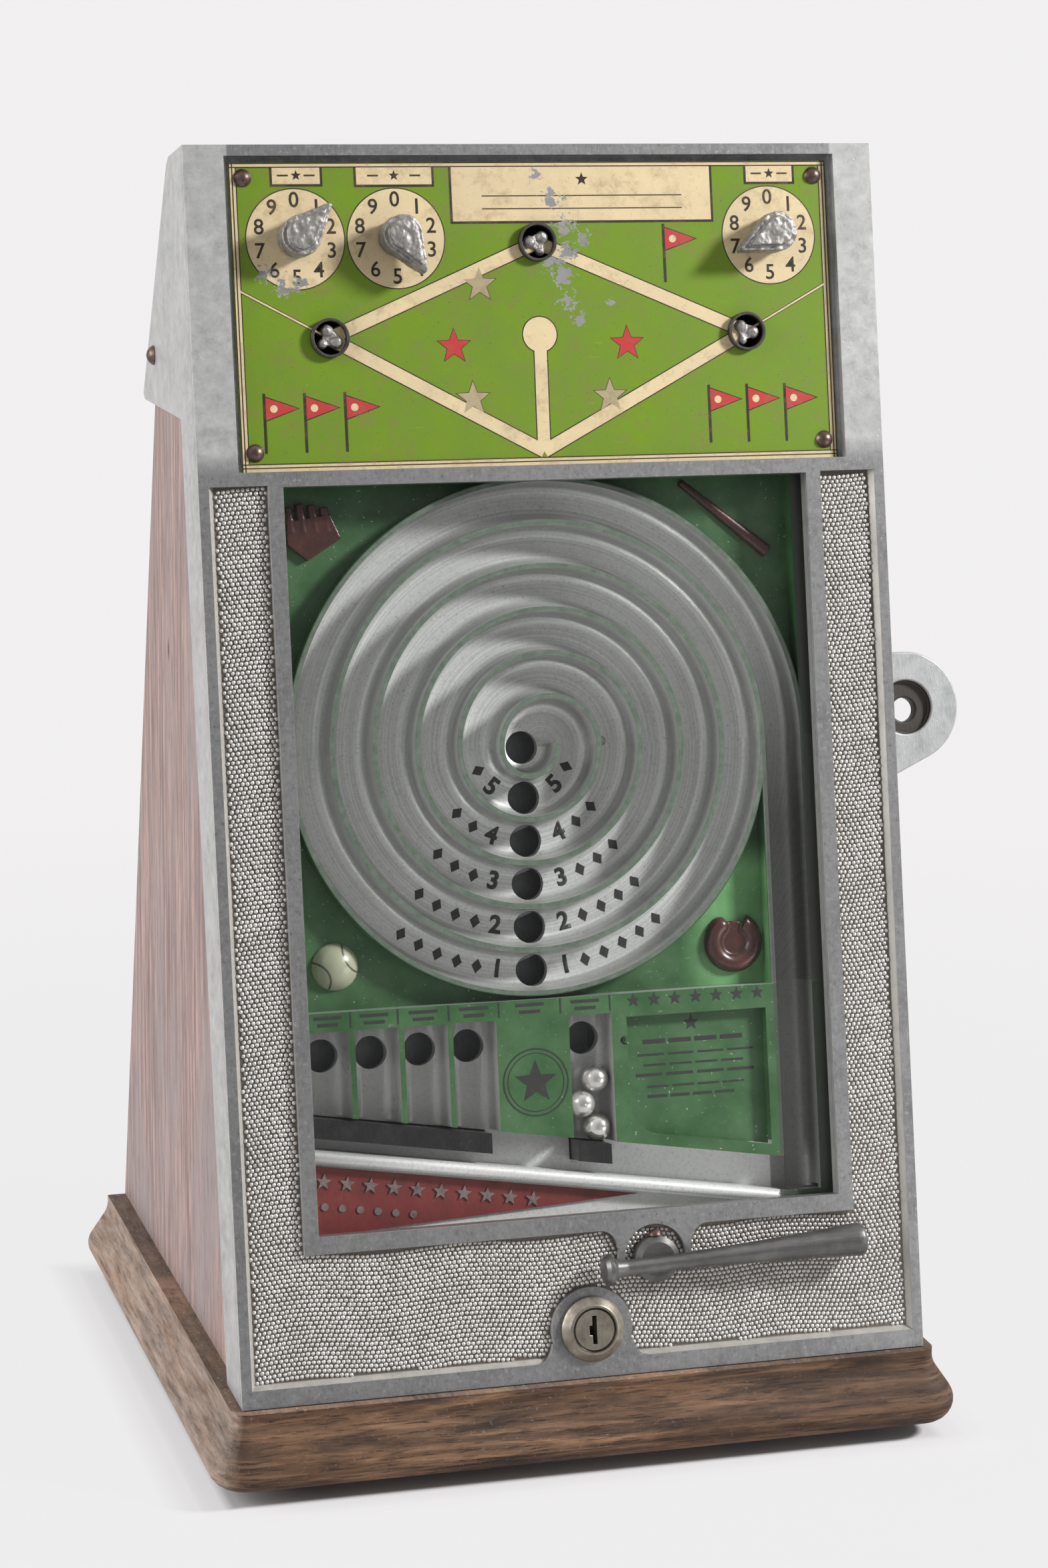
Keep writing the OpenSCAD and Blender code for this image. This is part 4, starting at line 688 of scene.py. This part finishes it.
def heightAt(tree, u, v):
    hit = tree.ray_cast(Vector((u, v, rayStart)), Vector((0, 0, -1)))[0]
    return hit.z if hit else None


def addBlock(bm, u0, u1, v0, v1, w0, w1):
    verts = bmesh.ops.create_cube(bm, size=1)["verts"]
    bmesh.ops.scale(bm, vec=(u1 - u0, v1 - v0, w1 - w0), verts=verts)
    bmesh.ops.translate(bm, vec=((u0 + u1) / 2, (v0 + v1) / 2, (w0 + w1) / 2), verts=verts)
    return verts


def addDisc(bm, u, v, radius, w0, w1, sides=48):
    place = Matrix.Translation((u, v, (w0 + w1) / 2))
    bmesh.ops.create_cone(bm, cap_ends=True, segments=sides, radius1=radius, radius2=radius, depth=w1 - w0,
                          matrix=place)


def addRing(bm, u, v, inner, outer, w0, w1):
    corners = [(inner, w0), (outer, w0), (outer, w1), (inner, w1)]
    verts = [bm.verts.new((u + r, v, w)) for r, w in corners]
    edges = [bm.edges.new((a, b)) for a, b in zip(verts, verts[1:] + verts[:1])]
    bmesh.ops.spin(bm, geom=verts + edges, cent=(u, v, 0), axis=(0, 0, 1), angle=math.tau, steps=64,
                   use_merge=True)


def addBand(bm, start, end, width, w0, w1):
    run = Vector(end) - Vector(start)
    verts = addBlock(bm, 0, run.length, -width / 2, width / 2, w0, w1)
    place = Matrix.Translation((*start, 0)) @ Matrix.Rotation(math.atan2(run.y, run.x), 4, "Z")
    bmesh.ops.transform(bm, matrix=place, verts=verts)


def pull(bm, faces, height, **settings):  # faces grow a second side at a height over the first
    grown = bmesh.ops.extrude_face_region(bm, geom=faces, **settings)["geom"]
    moved = [g for g in grown if isinstance(g, bmesh.types.BMVert)]
    bmesh.ops.translate(bm, vec=(0, 0, height), verts=moved)


def addSlab(bm, points, w0, w1):  # a flat outline with thickness
    base = bm.faces.new([bm.verts.new((u, v, w0)) for u, v in points])
    pull(bm, [base], w1 - w0, use_keep_orig=True)


def addNumeral(bm, text, size, u, v, w0, w1, turn=0.0, bold=0.012):
    curve = bpy.data.curves.new("numeral", "FONT")
    change(curve, body=text, size=size, align_x="CENTER", align_y="CENTER", resolution_u=3,
           extrude=(w1 - w0) / 2, offset=bold * size)
    holder = bpy.data.objects.new("numeral", curve)
    mesh = bpy.data.meshes.new_from_object(holder)
    mesh.transform(Matrix.Translation((u, v, (w0 + w1) / 2)) @ Matrix.Rotation(turn, 4, "Z"))
    bm.from_mesh(mesh)
    bpy.data.objects.remove(holder)
    bpy.data.curves.remove(curve)
    bpy.data.meshes.remove(mesh)


starWaist = 0.42  # a star's inner radius as a share of the outer


def starPoints(u, v, radius, turn=90.0):
    return [(u + r * math.cos(math.radians(turn + 36 * i)), v + r * math.sin(math.radians(turn + 36 * i)))
            for i, r in enumerate([radius, radius * starWaist] * 5)]


# pebbled ground of the casting
pebbleLook = {"pitch": 1.72, "row": 1.49, "radius": 0.88, "sizes": (0.92, 1.04), "height": 0.72,
              "heights": (0.85, 1.1), "squash": 0.88, "jitter": 0.07, "wave": 0.8, "waveLengths": (7.3, 9.1),
              "seed": 11, "floor": -2.5, "uneven": 0.05, "sink": 0.03, "outer": 118.2, "strip": 98.0,
              "low": 7.4, "high": 310.0, "rail": 50.0, "spare": 0.4}


def pebbleDome():
    bm = bmesh.new()
    bmesh.ops.create_uvsphere(bm, u_segments=8, v_segments=6, radius=1)
    cut = bmesh.ops.bisect_plane(bm, geom=bm.verts[:] + bm.edges[:] + bm.faces[:], plane_co=(0, 0, -0.01),
                                 plane_no=(0, 0, 1), clear_inner=True)["geom_cut"]
    bmesh.ops.contextual_create(bm, geom=[g for g in cut if isinstance(g, bmesh.types.BMEdge)])
    for side in bm.faces:
        side.smooth = side.normal.z > -0.5
    return meshOf("pebble", bm)


def makePebbles():
    look = pebbleLook
    ground = faceSurface("front_casting")
    draw = random.Random(look["seed"])
    dome = pebbleDome()
    banks = {"pebbles" + name: bmesh.new() for name in ("Left", "Right", "LowLeft", "LowRight")}
    spare = look["spare"]
    near = [(0, 0), (spare, 0), (-spare, 0), (0, spare), (0, -spare)]
    rows = int((look["high"] - look["low"]) / look["row"])
    columns = int(2 * look["outer"] / look["pitch"])
    waveUp, waveAcross = look["waveLengths"]
    for row in range(rows):
        for column in range(columns):
            u = -look["outer"] + (column + 0.5 * (row % 2)) * look["pitch"]
            v = look["low"] + row * look["row"]
            if v > look["rail"] and abs(u) < look["strip"]:
                continue
            u += look["wave"] * math.sin(v / waveUp) + draw.gauss(0, look["jitter"])
            v += look["wave"] * math.sin(u / waveAcross) + draw.gauss(0, look["jitter"])
            size = look["radius"] * draw.uniform(*look["sizes"])
            tall = look["height"] * draw.uniform(*look["heights"])
            turn = draw.uniform(0, math.pi)
            levels = [heightAt(ground, u + du, v + dv) for du, dv in near]
            if any(w is None or abs(w - look["floor"]) > look["uneven"] for w in levels):
                continue
            foot = Matrix.Translation((u, v, look["floor"] - look["sink"]))
            shape = (size, size * draw.uniform(look["squash"], 1), tall, 1)
            place = foot @ Matrix.Rotation(turn, 4, "Z") @ Matrix.Diagonal(shape)
            dome.transform(place)
            level = "Low" if v < look["rail"] else ""
            side = "Left" if u < 0 else "Right"
            banks["pebbles" + level + side].from_mesh(dome)
            dome.transform(place.inverted())
    for name, bm in banks.items():
        settle(name, bm, finishes["pebbles"], "front")
    bpy.data.meshes.remove(dome)


panelLook = {"half": 106.6, "low": 314.85, "high": 418.8, "sideBorder": 2.3, "topBorder": 1.3,
             "midline": 0.45, "line": 0.4, "frame": 0.85, "under": -3.06, "ink": -2.975, "cream": -2.95,
             "mark": -2.925,
             "dialRadius": 16.9, "dialSides": 72, "dials": [(-84.6, 393.0), (-49.6, 393.0), (84.6, 393.0)],
             "numeralSize": 7.4, "numeralRing": 13.1,
             "plates": [(-91.7, -75.2, 411.6, 417.4), (-62.6, -36.2, 411.3, 417.4),
                        (77.2, 94.2, 411.6, 417.4), (-29.3, 63.7, 398.6, 417.4)],
             "bases": [(-74.5, 359.4), (0, 391.2), (74.5, 359.4), (-0.6, 319.5)], "pathWidth": 4.4,
             "mound": (-0.3, 359.6, 6.0), "moundGap": 0.3, "foulEnds": [(-106, 376.5), (106, 376.5)],
             "foulInk": 1.1, "foulCream": 0.6}
# steps between prints that cross, so that no two tops share a plane
printSteps = {"border": 0.005, "path": 0.012, "nextInk": 0.001, "nextCream": 0.0015, "mound": 0.009,
              "dial": 0.008, "plateInk": 0.012, "plate": 0.006}


def makeScorePrint():
    look, step = panelLook, printSteps
    cream, ink, red, tan = (bmesh.new() for _ in range(4))
    under, line = look["under"], look["line"]
    inkTop, creamTop, markTop = look["ink"], look["cream"], look["mark"]
    half, low, high, edge = look["half"], look["low"], look["high"], look["sideBorder"]
    upper = high - look["topBorder"]
    middle = edge * look["midline"]
    addBlock(cream, -half, half, low, low + edge, under, creamTop)  # border
    addBlock(cream, -half, half, upper, high, under, creamTop)
    for side in (-1, 1):
        near, far = sorted((side * half, side * (half - edge)))
        addBlock(cream, near, far, low, high, under, creamTop - step["border"])
        for inset, top in ((edge, inkTop), (middle, markTop), (0, markTop)):
            near, far = sorted((side * (half - inset), side * (half - inset - line)))
            addBlock(ink, near, far, low, high, under, top)
    for v in (low + edge, low + middle, upper - line, high - line):
        addBlock(ink, -half, half, v, v + line, under, markTop - step["border"])

    corners = look["bases"]
    u, v, radius = look["mound"]
    moundFoot = (u, v - radius + look["moundGap"])
    paths = list(zip(corners, corners[1:] + corners[:1])) + [(moundFoot, corners[3])]
    for i, (start, end) in enumerate(paths):
        addBand(ink, start, end, look["pathWidth"] + 2 * line, under, inkTop - step["nextInk"] * i)
        addBand(cream, start, end, look["pathWidth"], under, creamTop - step["path"] - step["nextCream"] * i)
    for start, end in zip((corners[0], corners[2]), look["foulEnds"]):
        addBand(ink, start, end, look["foulInk"], under, inkTop)
        addBand(cream, start, end, look["foulCream"], under, creamTop - step["path"])
    addDisc(ink, u, v, radius + line, under, inkTop)
    addDisc(cream, u, v, radius, under, creamTop - step["mound"])

    radius, ring = look["dialRadius"], look["numeralRing"]
    for u, v in look["dials"]:
        addDisc(ink, u, v, radius + line, under, inkTop + step["dial"], look["dialSides"])
        addDisc(cream, u, v, radius, under, creamTop, look["dialSides"])
        for digit in range(10):
            turn = math.radians(90 - 36 * digit)
            addNumeral(ink, str(digit), look["numeralSize"], u + ring * math.cos(turn),
                       v + ring * math.sin(turn), under, markTop)
    rim = look["frame"]
    for u0, u1, v0, v1 in look["plates"]:
        addBlock(ink, u0 - rim, u1 + rim, v0 - rim, v1 + line, under, inkTop + step["plateInk"])
        addBlock(cream, u0, u1, v0, v1, under, creamTop + step["plate"])
    makePanelMarks(cream, ink, red, tan)
    for name, bm in (("Cream", cream), ("Ink", ink), ("Red", red), ("Tan", tan)):
        bmesh.ops.recalc_face_normals(bm, faces=bm.faces)
        paint = printFinish("print" + name + "Paint", printLook[name.lower()])
        settle("print" + name, bm, paint, "front")


panelMarks = {"pennants": [(-98, 321), (-84, 321), (-70, 321), (60, 321), (74, 321), (88, 321), (46, 377)],
              "poleHalf": 0.45, "poleHeight": 19, "poleOver": 1.2, "flag": (11.5, 8.0), "dot": (3.2, 1.3),
              "stars": [(-31, 356), (31, 356)], "tanStars": [(-21, 377), (24, 338), (-25, 338)],
              "starRadius": 6.0, "starEdge": 1.4, "plateStar": 1.9, "dash": (0.28, 1.9, 0.3),
              "wideStar": (4.6, 2.4), "wideRules": (4.0, 8.4), "wideHalf": 36}


def makePanelMarks(cream, ink, red, tan):  # plain pennants, stars and rule lines
    look, marks = panelLook, panelMarks
    line = look["line"]
    inkLayer, creamLayer, markLayer = ((look["under"], look[key]) for key in ("ink", "cream", "mark"))
    length, drop = marks["flag"]
    dotIn, dotRadius = marks["dot"]
    pole = marks["poleHalf"]
    for u, v in marks["pennants"]:
        top = v + marks["poleHeight"]
        tip = top - drop / 2
        addBlock(ink, u - pole, u + pole, v, top + marks["poleOver"], *markLayer)
        addSlab(ink, [(u, top + line), (u + length + 2 * line, tip), (u, top - drop - line)], *inkLayer)
        addSlab(red, [(u, top), (u + length, tip), (u, top - drop)], *creamLayer)
        addDisc(cream, u + dotIn, tip, dotRadius, *markLayer, 16)
    radius = marks["starRadius"]
    for places, bm in ((marks["stars"], red), (marks["tanStars"], tan)):
        for u, v in places:
            addSlab(ink, starPoints(u, v, radius + marks["starEdge"] * line), *inkLayer)
            addSlab(bm, starPoints(u, v, radius), *creamLayer)
    share, half, thick = marks["dash"]
    for u0, u1, v0, v1 in look["plates"][:3]:
        v = (v0 + v1) / 2
        addSlab(ink, starPoints((u0 + u1) / 2, v, marks["plateStar"]), *markLayer)
        for side in (-1, 1):
            u = (u0 + u1) / 2 + side * (u1 - u0) * share
            addBlock(ink, u - half, u + half, v - thick, v + thick, *markLayer)
    u0, u1, v0, v1 = look["plates"][3]
    u, reach = (u0 + u1) / 2, marks["wideHalf"]
    drop, radius = marks["wideStar"]
    addSlab(ink, starPoints(u, v1 - drop, radius), *markLayer)
    for rise in marks["wideRules"]:
        addBlock(ink, u - reach, u + reach, v0 + rise, v0 + rise + line, *markLayer)


fieldMarks = {"ringCentre": (-9, 218.1), "ringRadii": (17.5, 32.5, 47.5, 62.5, 77.5), "numeral": 8.6,
              "bold": 0.035, "start": 12.5, "step": 7.4, "widest": 1.2, "diamond": (2.7, 3.6), "lift": 0.09,
              "sink": 0.05, "longest": 0.9, "deck": -8.8, "card": -12.8, "red": -13.75, "left": -93,
              "ticks": (-77, -60.4, -42.4, -24.6, -2.5, 15.4), "tickHalf": 0.25, "tickSpan": (125.6, 131.0),
              "rules": [(129.4, 0.3), (127.0, 0.22)], "ruleHalf": 0.55, "ruleMost": 17,
              "deckStars": {"count": 7, "first": 24, "pitch": 7.6, "v": 128.4, "radius": 2.5},
              "penny": (-12.5, 102.5, 11.8), "pennyRings": [(0.5, 0), (1.9, 1.6)], "pennyStar": 4,
              "cardStar": (46, 119.2, 3.0), "ruleParts": 4, "partShare": 0.86,
              "cardRules": [(113.4, 28, 66, 1.5), (108.8, 26, 70, 0.7), (105.2, 28, 66, 0.7),
                            (101.8, 25, 70, 1.0), (97.6, 29, 66, 0.7), (94.2, 29, 62, 1.0)],
              "redSlope": 0.158,
              "redStars": {"count": 10, "first": -88, "pitch": 8.2, "v": 74.2, "radius": 2.9, "height": 0.5},
              "redTurn": 81,
              "redStuds": {"count": 6, "first": -88, "pitch": 6.2, "v": 65.6, "radius": 1.3, "height": 0.4},
              "ink": [(0.012, 0.012, 0.011), (0.012, 0.012, 0.011), (0.024, 0.024, 0.022)],
              "castGrey": [(0.12, 0.05, 0.045), (0.24, 0.2, 0.19), (0.34, 0.31, 0.3)]}


def drape(marks, ground):  # flat marks bend over the metal under them
    lift = fieldMarks["lift"]
    bmesh.ops.triangulate(marks, faces=marks.faces)
    for _ in range(2):
        longEdges = [edge for edge in marks.edges if edge.calc_length() > fieldMarks["longest"]]
        bmesh.ops.subdivide_edges(marks, edges=longEdges, cuts=1)
        bmesh.ops.triangulate(marks, faces=marks.faces)
    for vertex in marks.verts:
        vertex.co.z = heightAt(ground, vertex.co.x, vertex.co.y) + lift
    pull(marks, marks.faces[:], -2 * lift)


def rowPlaces(row, slope=0.0):  # places along a row that falls to the right
    across = [row["first"] + row["pitch"] * i for i in range(row["count"])]
    return [(u, row["v"] - slope * (u - fieldMarks["left"])) for u in across]


def makeFieldMarks():  # plain numerals and diamonds in the gutters, ticks and rules on the deck and the card
    look = fieldMarks
    gutter, flat, cast = (bmesh.new() for _ in range(3))
    wide, tall = look["diamond"]
    cu, cv = look["ringCentre"]
    for ring, radius in enumerate(look["ringRadii"]):
        for side in (-1, 1):
            for i in range(ring + 2):
                turn = side * (look["start"] + i * look["step"]) / radius
                if abs(turn) > look["widest"]:
                    continue
                u, v = cu + radius * math.sin(turn), cv - radius * math.cos(turn)
                if i == 0:
                    addNumeral(gutter, str(5 - ring), look["numeral"], u, v, 0, 0, turn, look["bold"])
                    continue
                place = (Matrix.Translation((u, v, 0)) @ Matrix.Rotation(turn, 4, "Z")
                         @ Matrix.Diagonal((wide, tall, 1, 1)) @ Matrix.Rotation(math.pi / 4, 4, "Z"))
                bmesh.ops.create_grid(gutter, x_segments=2, y_segments=2, size=0.5, matrix=place)
    drape(gutter, faceSurface("playfield"))

    deck, card = ((look[key] - look["sink"], look[key] + look["lift"]) for key in ("deck", "card"))
    half = look["tickHalf"]
    for u in look["ticks"]:
        addBlock(flat, u - half, u + half, *look["tickSpan"], *deck)
    half = look["ruleHalf"]
    for left, right in zip((look["left"],) + look["ticks"], look["ticks"]):
        middle = (left + right) / 2
        for v, share in look["rules"]:
            reach = min(right - left, look["ruleMost"]) * share
            addBlock(flat, middle - reach, middle + reach, v - half, v + half, *deck)
    for u, v in rowPlaces(look["deckStars"]):
        addSlab(flat, starPoints(u, v, look["deckStars"]["radius"]), *deck)
    u, v, radius = look["penny"]
    for inner, outer in look["pennyRings"]:
        addRing(flat, u, v, radius - inner, radius - outer, *deck)
    addSlab(flat, starPoints(u, v, radius - look["pennyStar"]), *deck)
    addSlab(flat, starPoints(*look["cardStar"]), *card)
    for v, left, right, thick in look["cardRules"]:
        wide = (right - left) / look["ruleParts"]
        for part in range(look["ruleParts"]):
            start = left + part * wide
            addBlock(flat, start, start + wide * look["partShare"], v - thick / 2, v + thick / 2, *card)

    red, stars, studs = look["red"], look["redStars"], look["redStuds"]
    foot = red - look["sink"]
    for u, v in rowPlaces(stars, look["redSlope"]):
        addSlab(cast, starPoints(u, v, stars["radius"], look["redTurn"]), foot, red + stars["height"])
    for u, v in rowPlaces(studs, look["redSlope"]):
        addDisc(cast, u, v, studs["radius"], foot, red + studs["height"], 16)
    ink = metal("fieldInk", look["ink"], blotch=3, metallic=0.0, rough=0.55)
    grey = metal("castStars", look["castGrey"], blotch=3)
    for name, bm, finish, slot in (("gutterMarks", gutter, ink, "playfield_paint"),
                                   ("deckMarks", flat, ink, "playfield_paint"),
                                   ("redStars", cast, grey, "red_paint")):
        bmesh.ops.recalc_face_normals(bm, faces=bm.faces)
        settle(name, bm, finish, bodyOf["playfield"])


softCopies = {"front_casting": 0.5, "playfield": 0, "base_front_moulding": 0, "base_left_moulding": 0,
              "base_right_moulding": 0, "side_left": 0.8, "side_right": 0.8, "back_panel": 0.6,
              "rear_hood": 0.3, "bat_lever": 0.4, "coin_slide": 0.6, "lock_body": 0.2, "lock_plug": 0.15,
              "marker_cups": 0.2, "balls": 0, "gate": 0, "panel_screws": 0,
              "pivot_screws": 0, "feet": 0}  # rounding in mm
for node, rounding in softCopies.items():
    softCopy(node, rounding)
print("soft copies made:", len(softCopies))

knobCast = {"voxel": 0.35, "soften": 3, "lumps": 0.9, "lumpSize": 2.6}
lobeCast = {"voxel": 0.25, "soften": 4, "lumps": 0.5, "lumpSize": 1.4}
reliefCast = {"voxel": 0.35, "soften": 3}
for node in ("knob_left", "knob_inner", "knob_right"):
    castCopy(node, knobCast)
for node in ("marker_third", "marker_second", "marker_first"):
    castCopy(node, lobeCast)
castCopy("reliefs", reliefCast)
makePebbles()
print("casting dressed")
makeScorePrint()
makeFieldMarks()
print("score panel and playfield printed")

# stage, light and camera
stageLook = {"floorColour": (0.86, 0.85, 0.855), "floorShade": (0.62, 0.61, 0.615), "floorHalf": 3,
             "contact": (-0.006, 0.004, 0, 0.75), "spill": (0, 0.016, 0.6, 0.97), "under": (-0.008, -0.004),
             "fade": (0.45, 0.95), "backColour": (0.885, 0.87, 0.88), "roomColour": (0.24, 0.24, 0.25),
             "roomAim": (0.29, -0.93, 0.18), "roomEdge": (0.4, 0.88), "worldColour": (1, 0.99, 0.98),
             "worldLight": 0.33}


def makeFloor():  # pale, darker where the base meets it, clear far away
    look = stageLook
    bm = bmesh.new()
    bmesh.ops.create_grid(bm, x_segments=1, y_segments=1, size=look["floorHalf"])
    floor = linked("floor", meshOf("floor", bm))
    material, tree, shader = blankFinish("paleFloor")
    setSockets(shader, baseColor=look["floorShade"], roughness=0.9)
    coords = put(tree, "ShaderNodeTexCoord").outputs["Object"]
    x, y, _ = split(coords)
    low, high = cadBounds
    beside = greatest(calc("ADD", calc("ABSOLUTE", x), low[0]),
                      calc("SUBTRACT", low[1], y), calc("SUBTRACT", y, high[1]))
    share = greatest(span(beside, *look["contact"]), span(beside, *look["spill"]))
    share = product(share, span(beside, *look["under"]))
    glow = put(tree, "ShaderNodeEmission", {"Color": look["floorColour"]})
    lifted = put(tree, "ShaderNodeMixShader", {0: share, 1: shader.outputs[0], 2: glow.outputs[0]})
    clear = put(tree, "ShaderNodeBsdfTransparent")
    far = span(measure("DISTANCE", coords, (0, 0, 0)), *look["fade"])
    faded = put(tree, "ShaderNodeMixShader", {0: far, 1: lifted.outputs[0], 2: clear.outputs[0]})
    tree.links.new(faded.outputs[0], tree.nodes["Material Output"].inputs["Surface"])
    floor.data.materials.append(material)


def makeWorld():  # the camera sees one pale tone, reflections a room that is darker round the camera
    look = stageLook
    world = bpy.data.worlds.new("studio")
    world.use_nodes = True
    bpy.context.scene.world = world
    tree = world.node_tree
    tree.nodes.clear()
    path = put(tree, "ShaderNodeLightPath").outputs
    seen = greatest(path["Is Camera Ray"], path["Is Transmission Ray"], path["Is Glossy Ray"])
    aim = put(tree, "ShaderNodeTexCoord").outputs["Generated"]
    toward = measure("DOT_PRODUCT", aim, look["roomAim"])
    dim = product(span(toward, *look["roomEdge"]), path["Is Glossy Ray"])
    tone = tint(dim, look["backColour"], look["roomColour"])
    lit = put(tree, "ShaderNodeBackground", {"Color": look["worldColour"], "Strength": look["worldLight"]})
    back = put(tree, "ShaderNodeBackground", {"Color": tone, "Strength": 1.0})
    both = put(tree, "ShaderNodeMixShader", {0: seen, 1: lit.outputs[0], 2: back.outputs[0]})
    put(tree, "ShaderNodeOutputWorld", {"Surface": both.outputs[0]})


lamps = {"keyLight": [(1.45, -0.82, 1.25), (0, 0, 0.25), (0.3, 0.3), 53],  # place, target, size and power
         "fillLight": [(-1.75, -0.1, 0.9), (0, 0, 0.2), (1.2, 1.2), 30],
         "tableGlow": [(0.45, -0.47, 0.012), (0, -0.07, 0.24), (0.3, 0.3), 1.0]}


def softBox(name, place, target, size, power):
    lamp = bpy.data.lights.new(name, "AREA")
    lamp.shape = "RECTANGLE"
    lamp.size, lamp.size_y = size
    lamp.energy = power
    made = linked(name, lamp)
    made.location = place
    made.rotation_euler = (Vector(target) - Vector(place)).to_track_quat("-Z", "Y").to_euler()


photoView = {"place": (-0.3658, -1.28045, 0.5009), "yaw": 16.226, "pitch": 12.005, "roll": 0.557,
             "lens": 86.25}


def makeCamera():
    view = photoView
    yaw, pitch, roll = (math.radians(view[k]) for k in ("yaw", "pitch", "roll"))
    ahead = Vector((math.sin(yaw) * math.cos(pitch), math.cos(yaw) * math.cos(pitch), -math.sin(pitch)))
    level = Vector((math.cos(yaw), -math.sin(yaw), 0))
    upward = level.cross(ahead)
    right = math.cos(roll) * level + math.sin(roll) * upward
    up = math.cos(roll) * upward - math.sin(roll) * level
    turn = Matrix((right, up, -ahead)).transposed().to_4x4()
    lens = bpy.data.cameras.new("photoCamera")
    lens.sensor_fit = "VERTICAL"
    lens.sensor_height = 36
    lens.lens = view["lens"]
    camera = linked("photoCamera", lens)
    camera.matrix_world = Matrix.Translation(view["place"]) @ turn
    bpy.context.scene.camera = camera


makeFloor()
makeWorld()
for name, values in lamps.items():
    softBox(name, *values)
makeCamera()
bpy.context.scene.view_settings.view_transform = "Standard"
print("stage set")
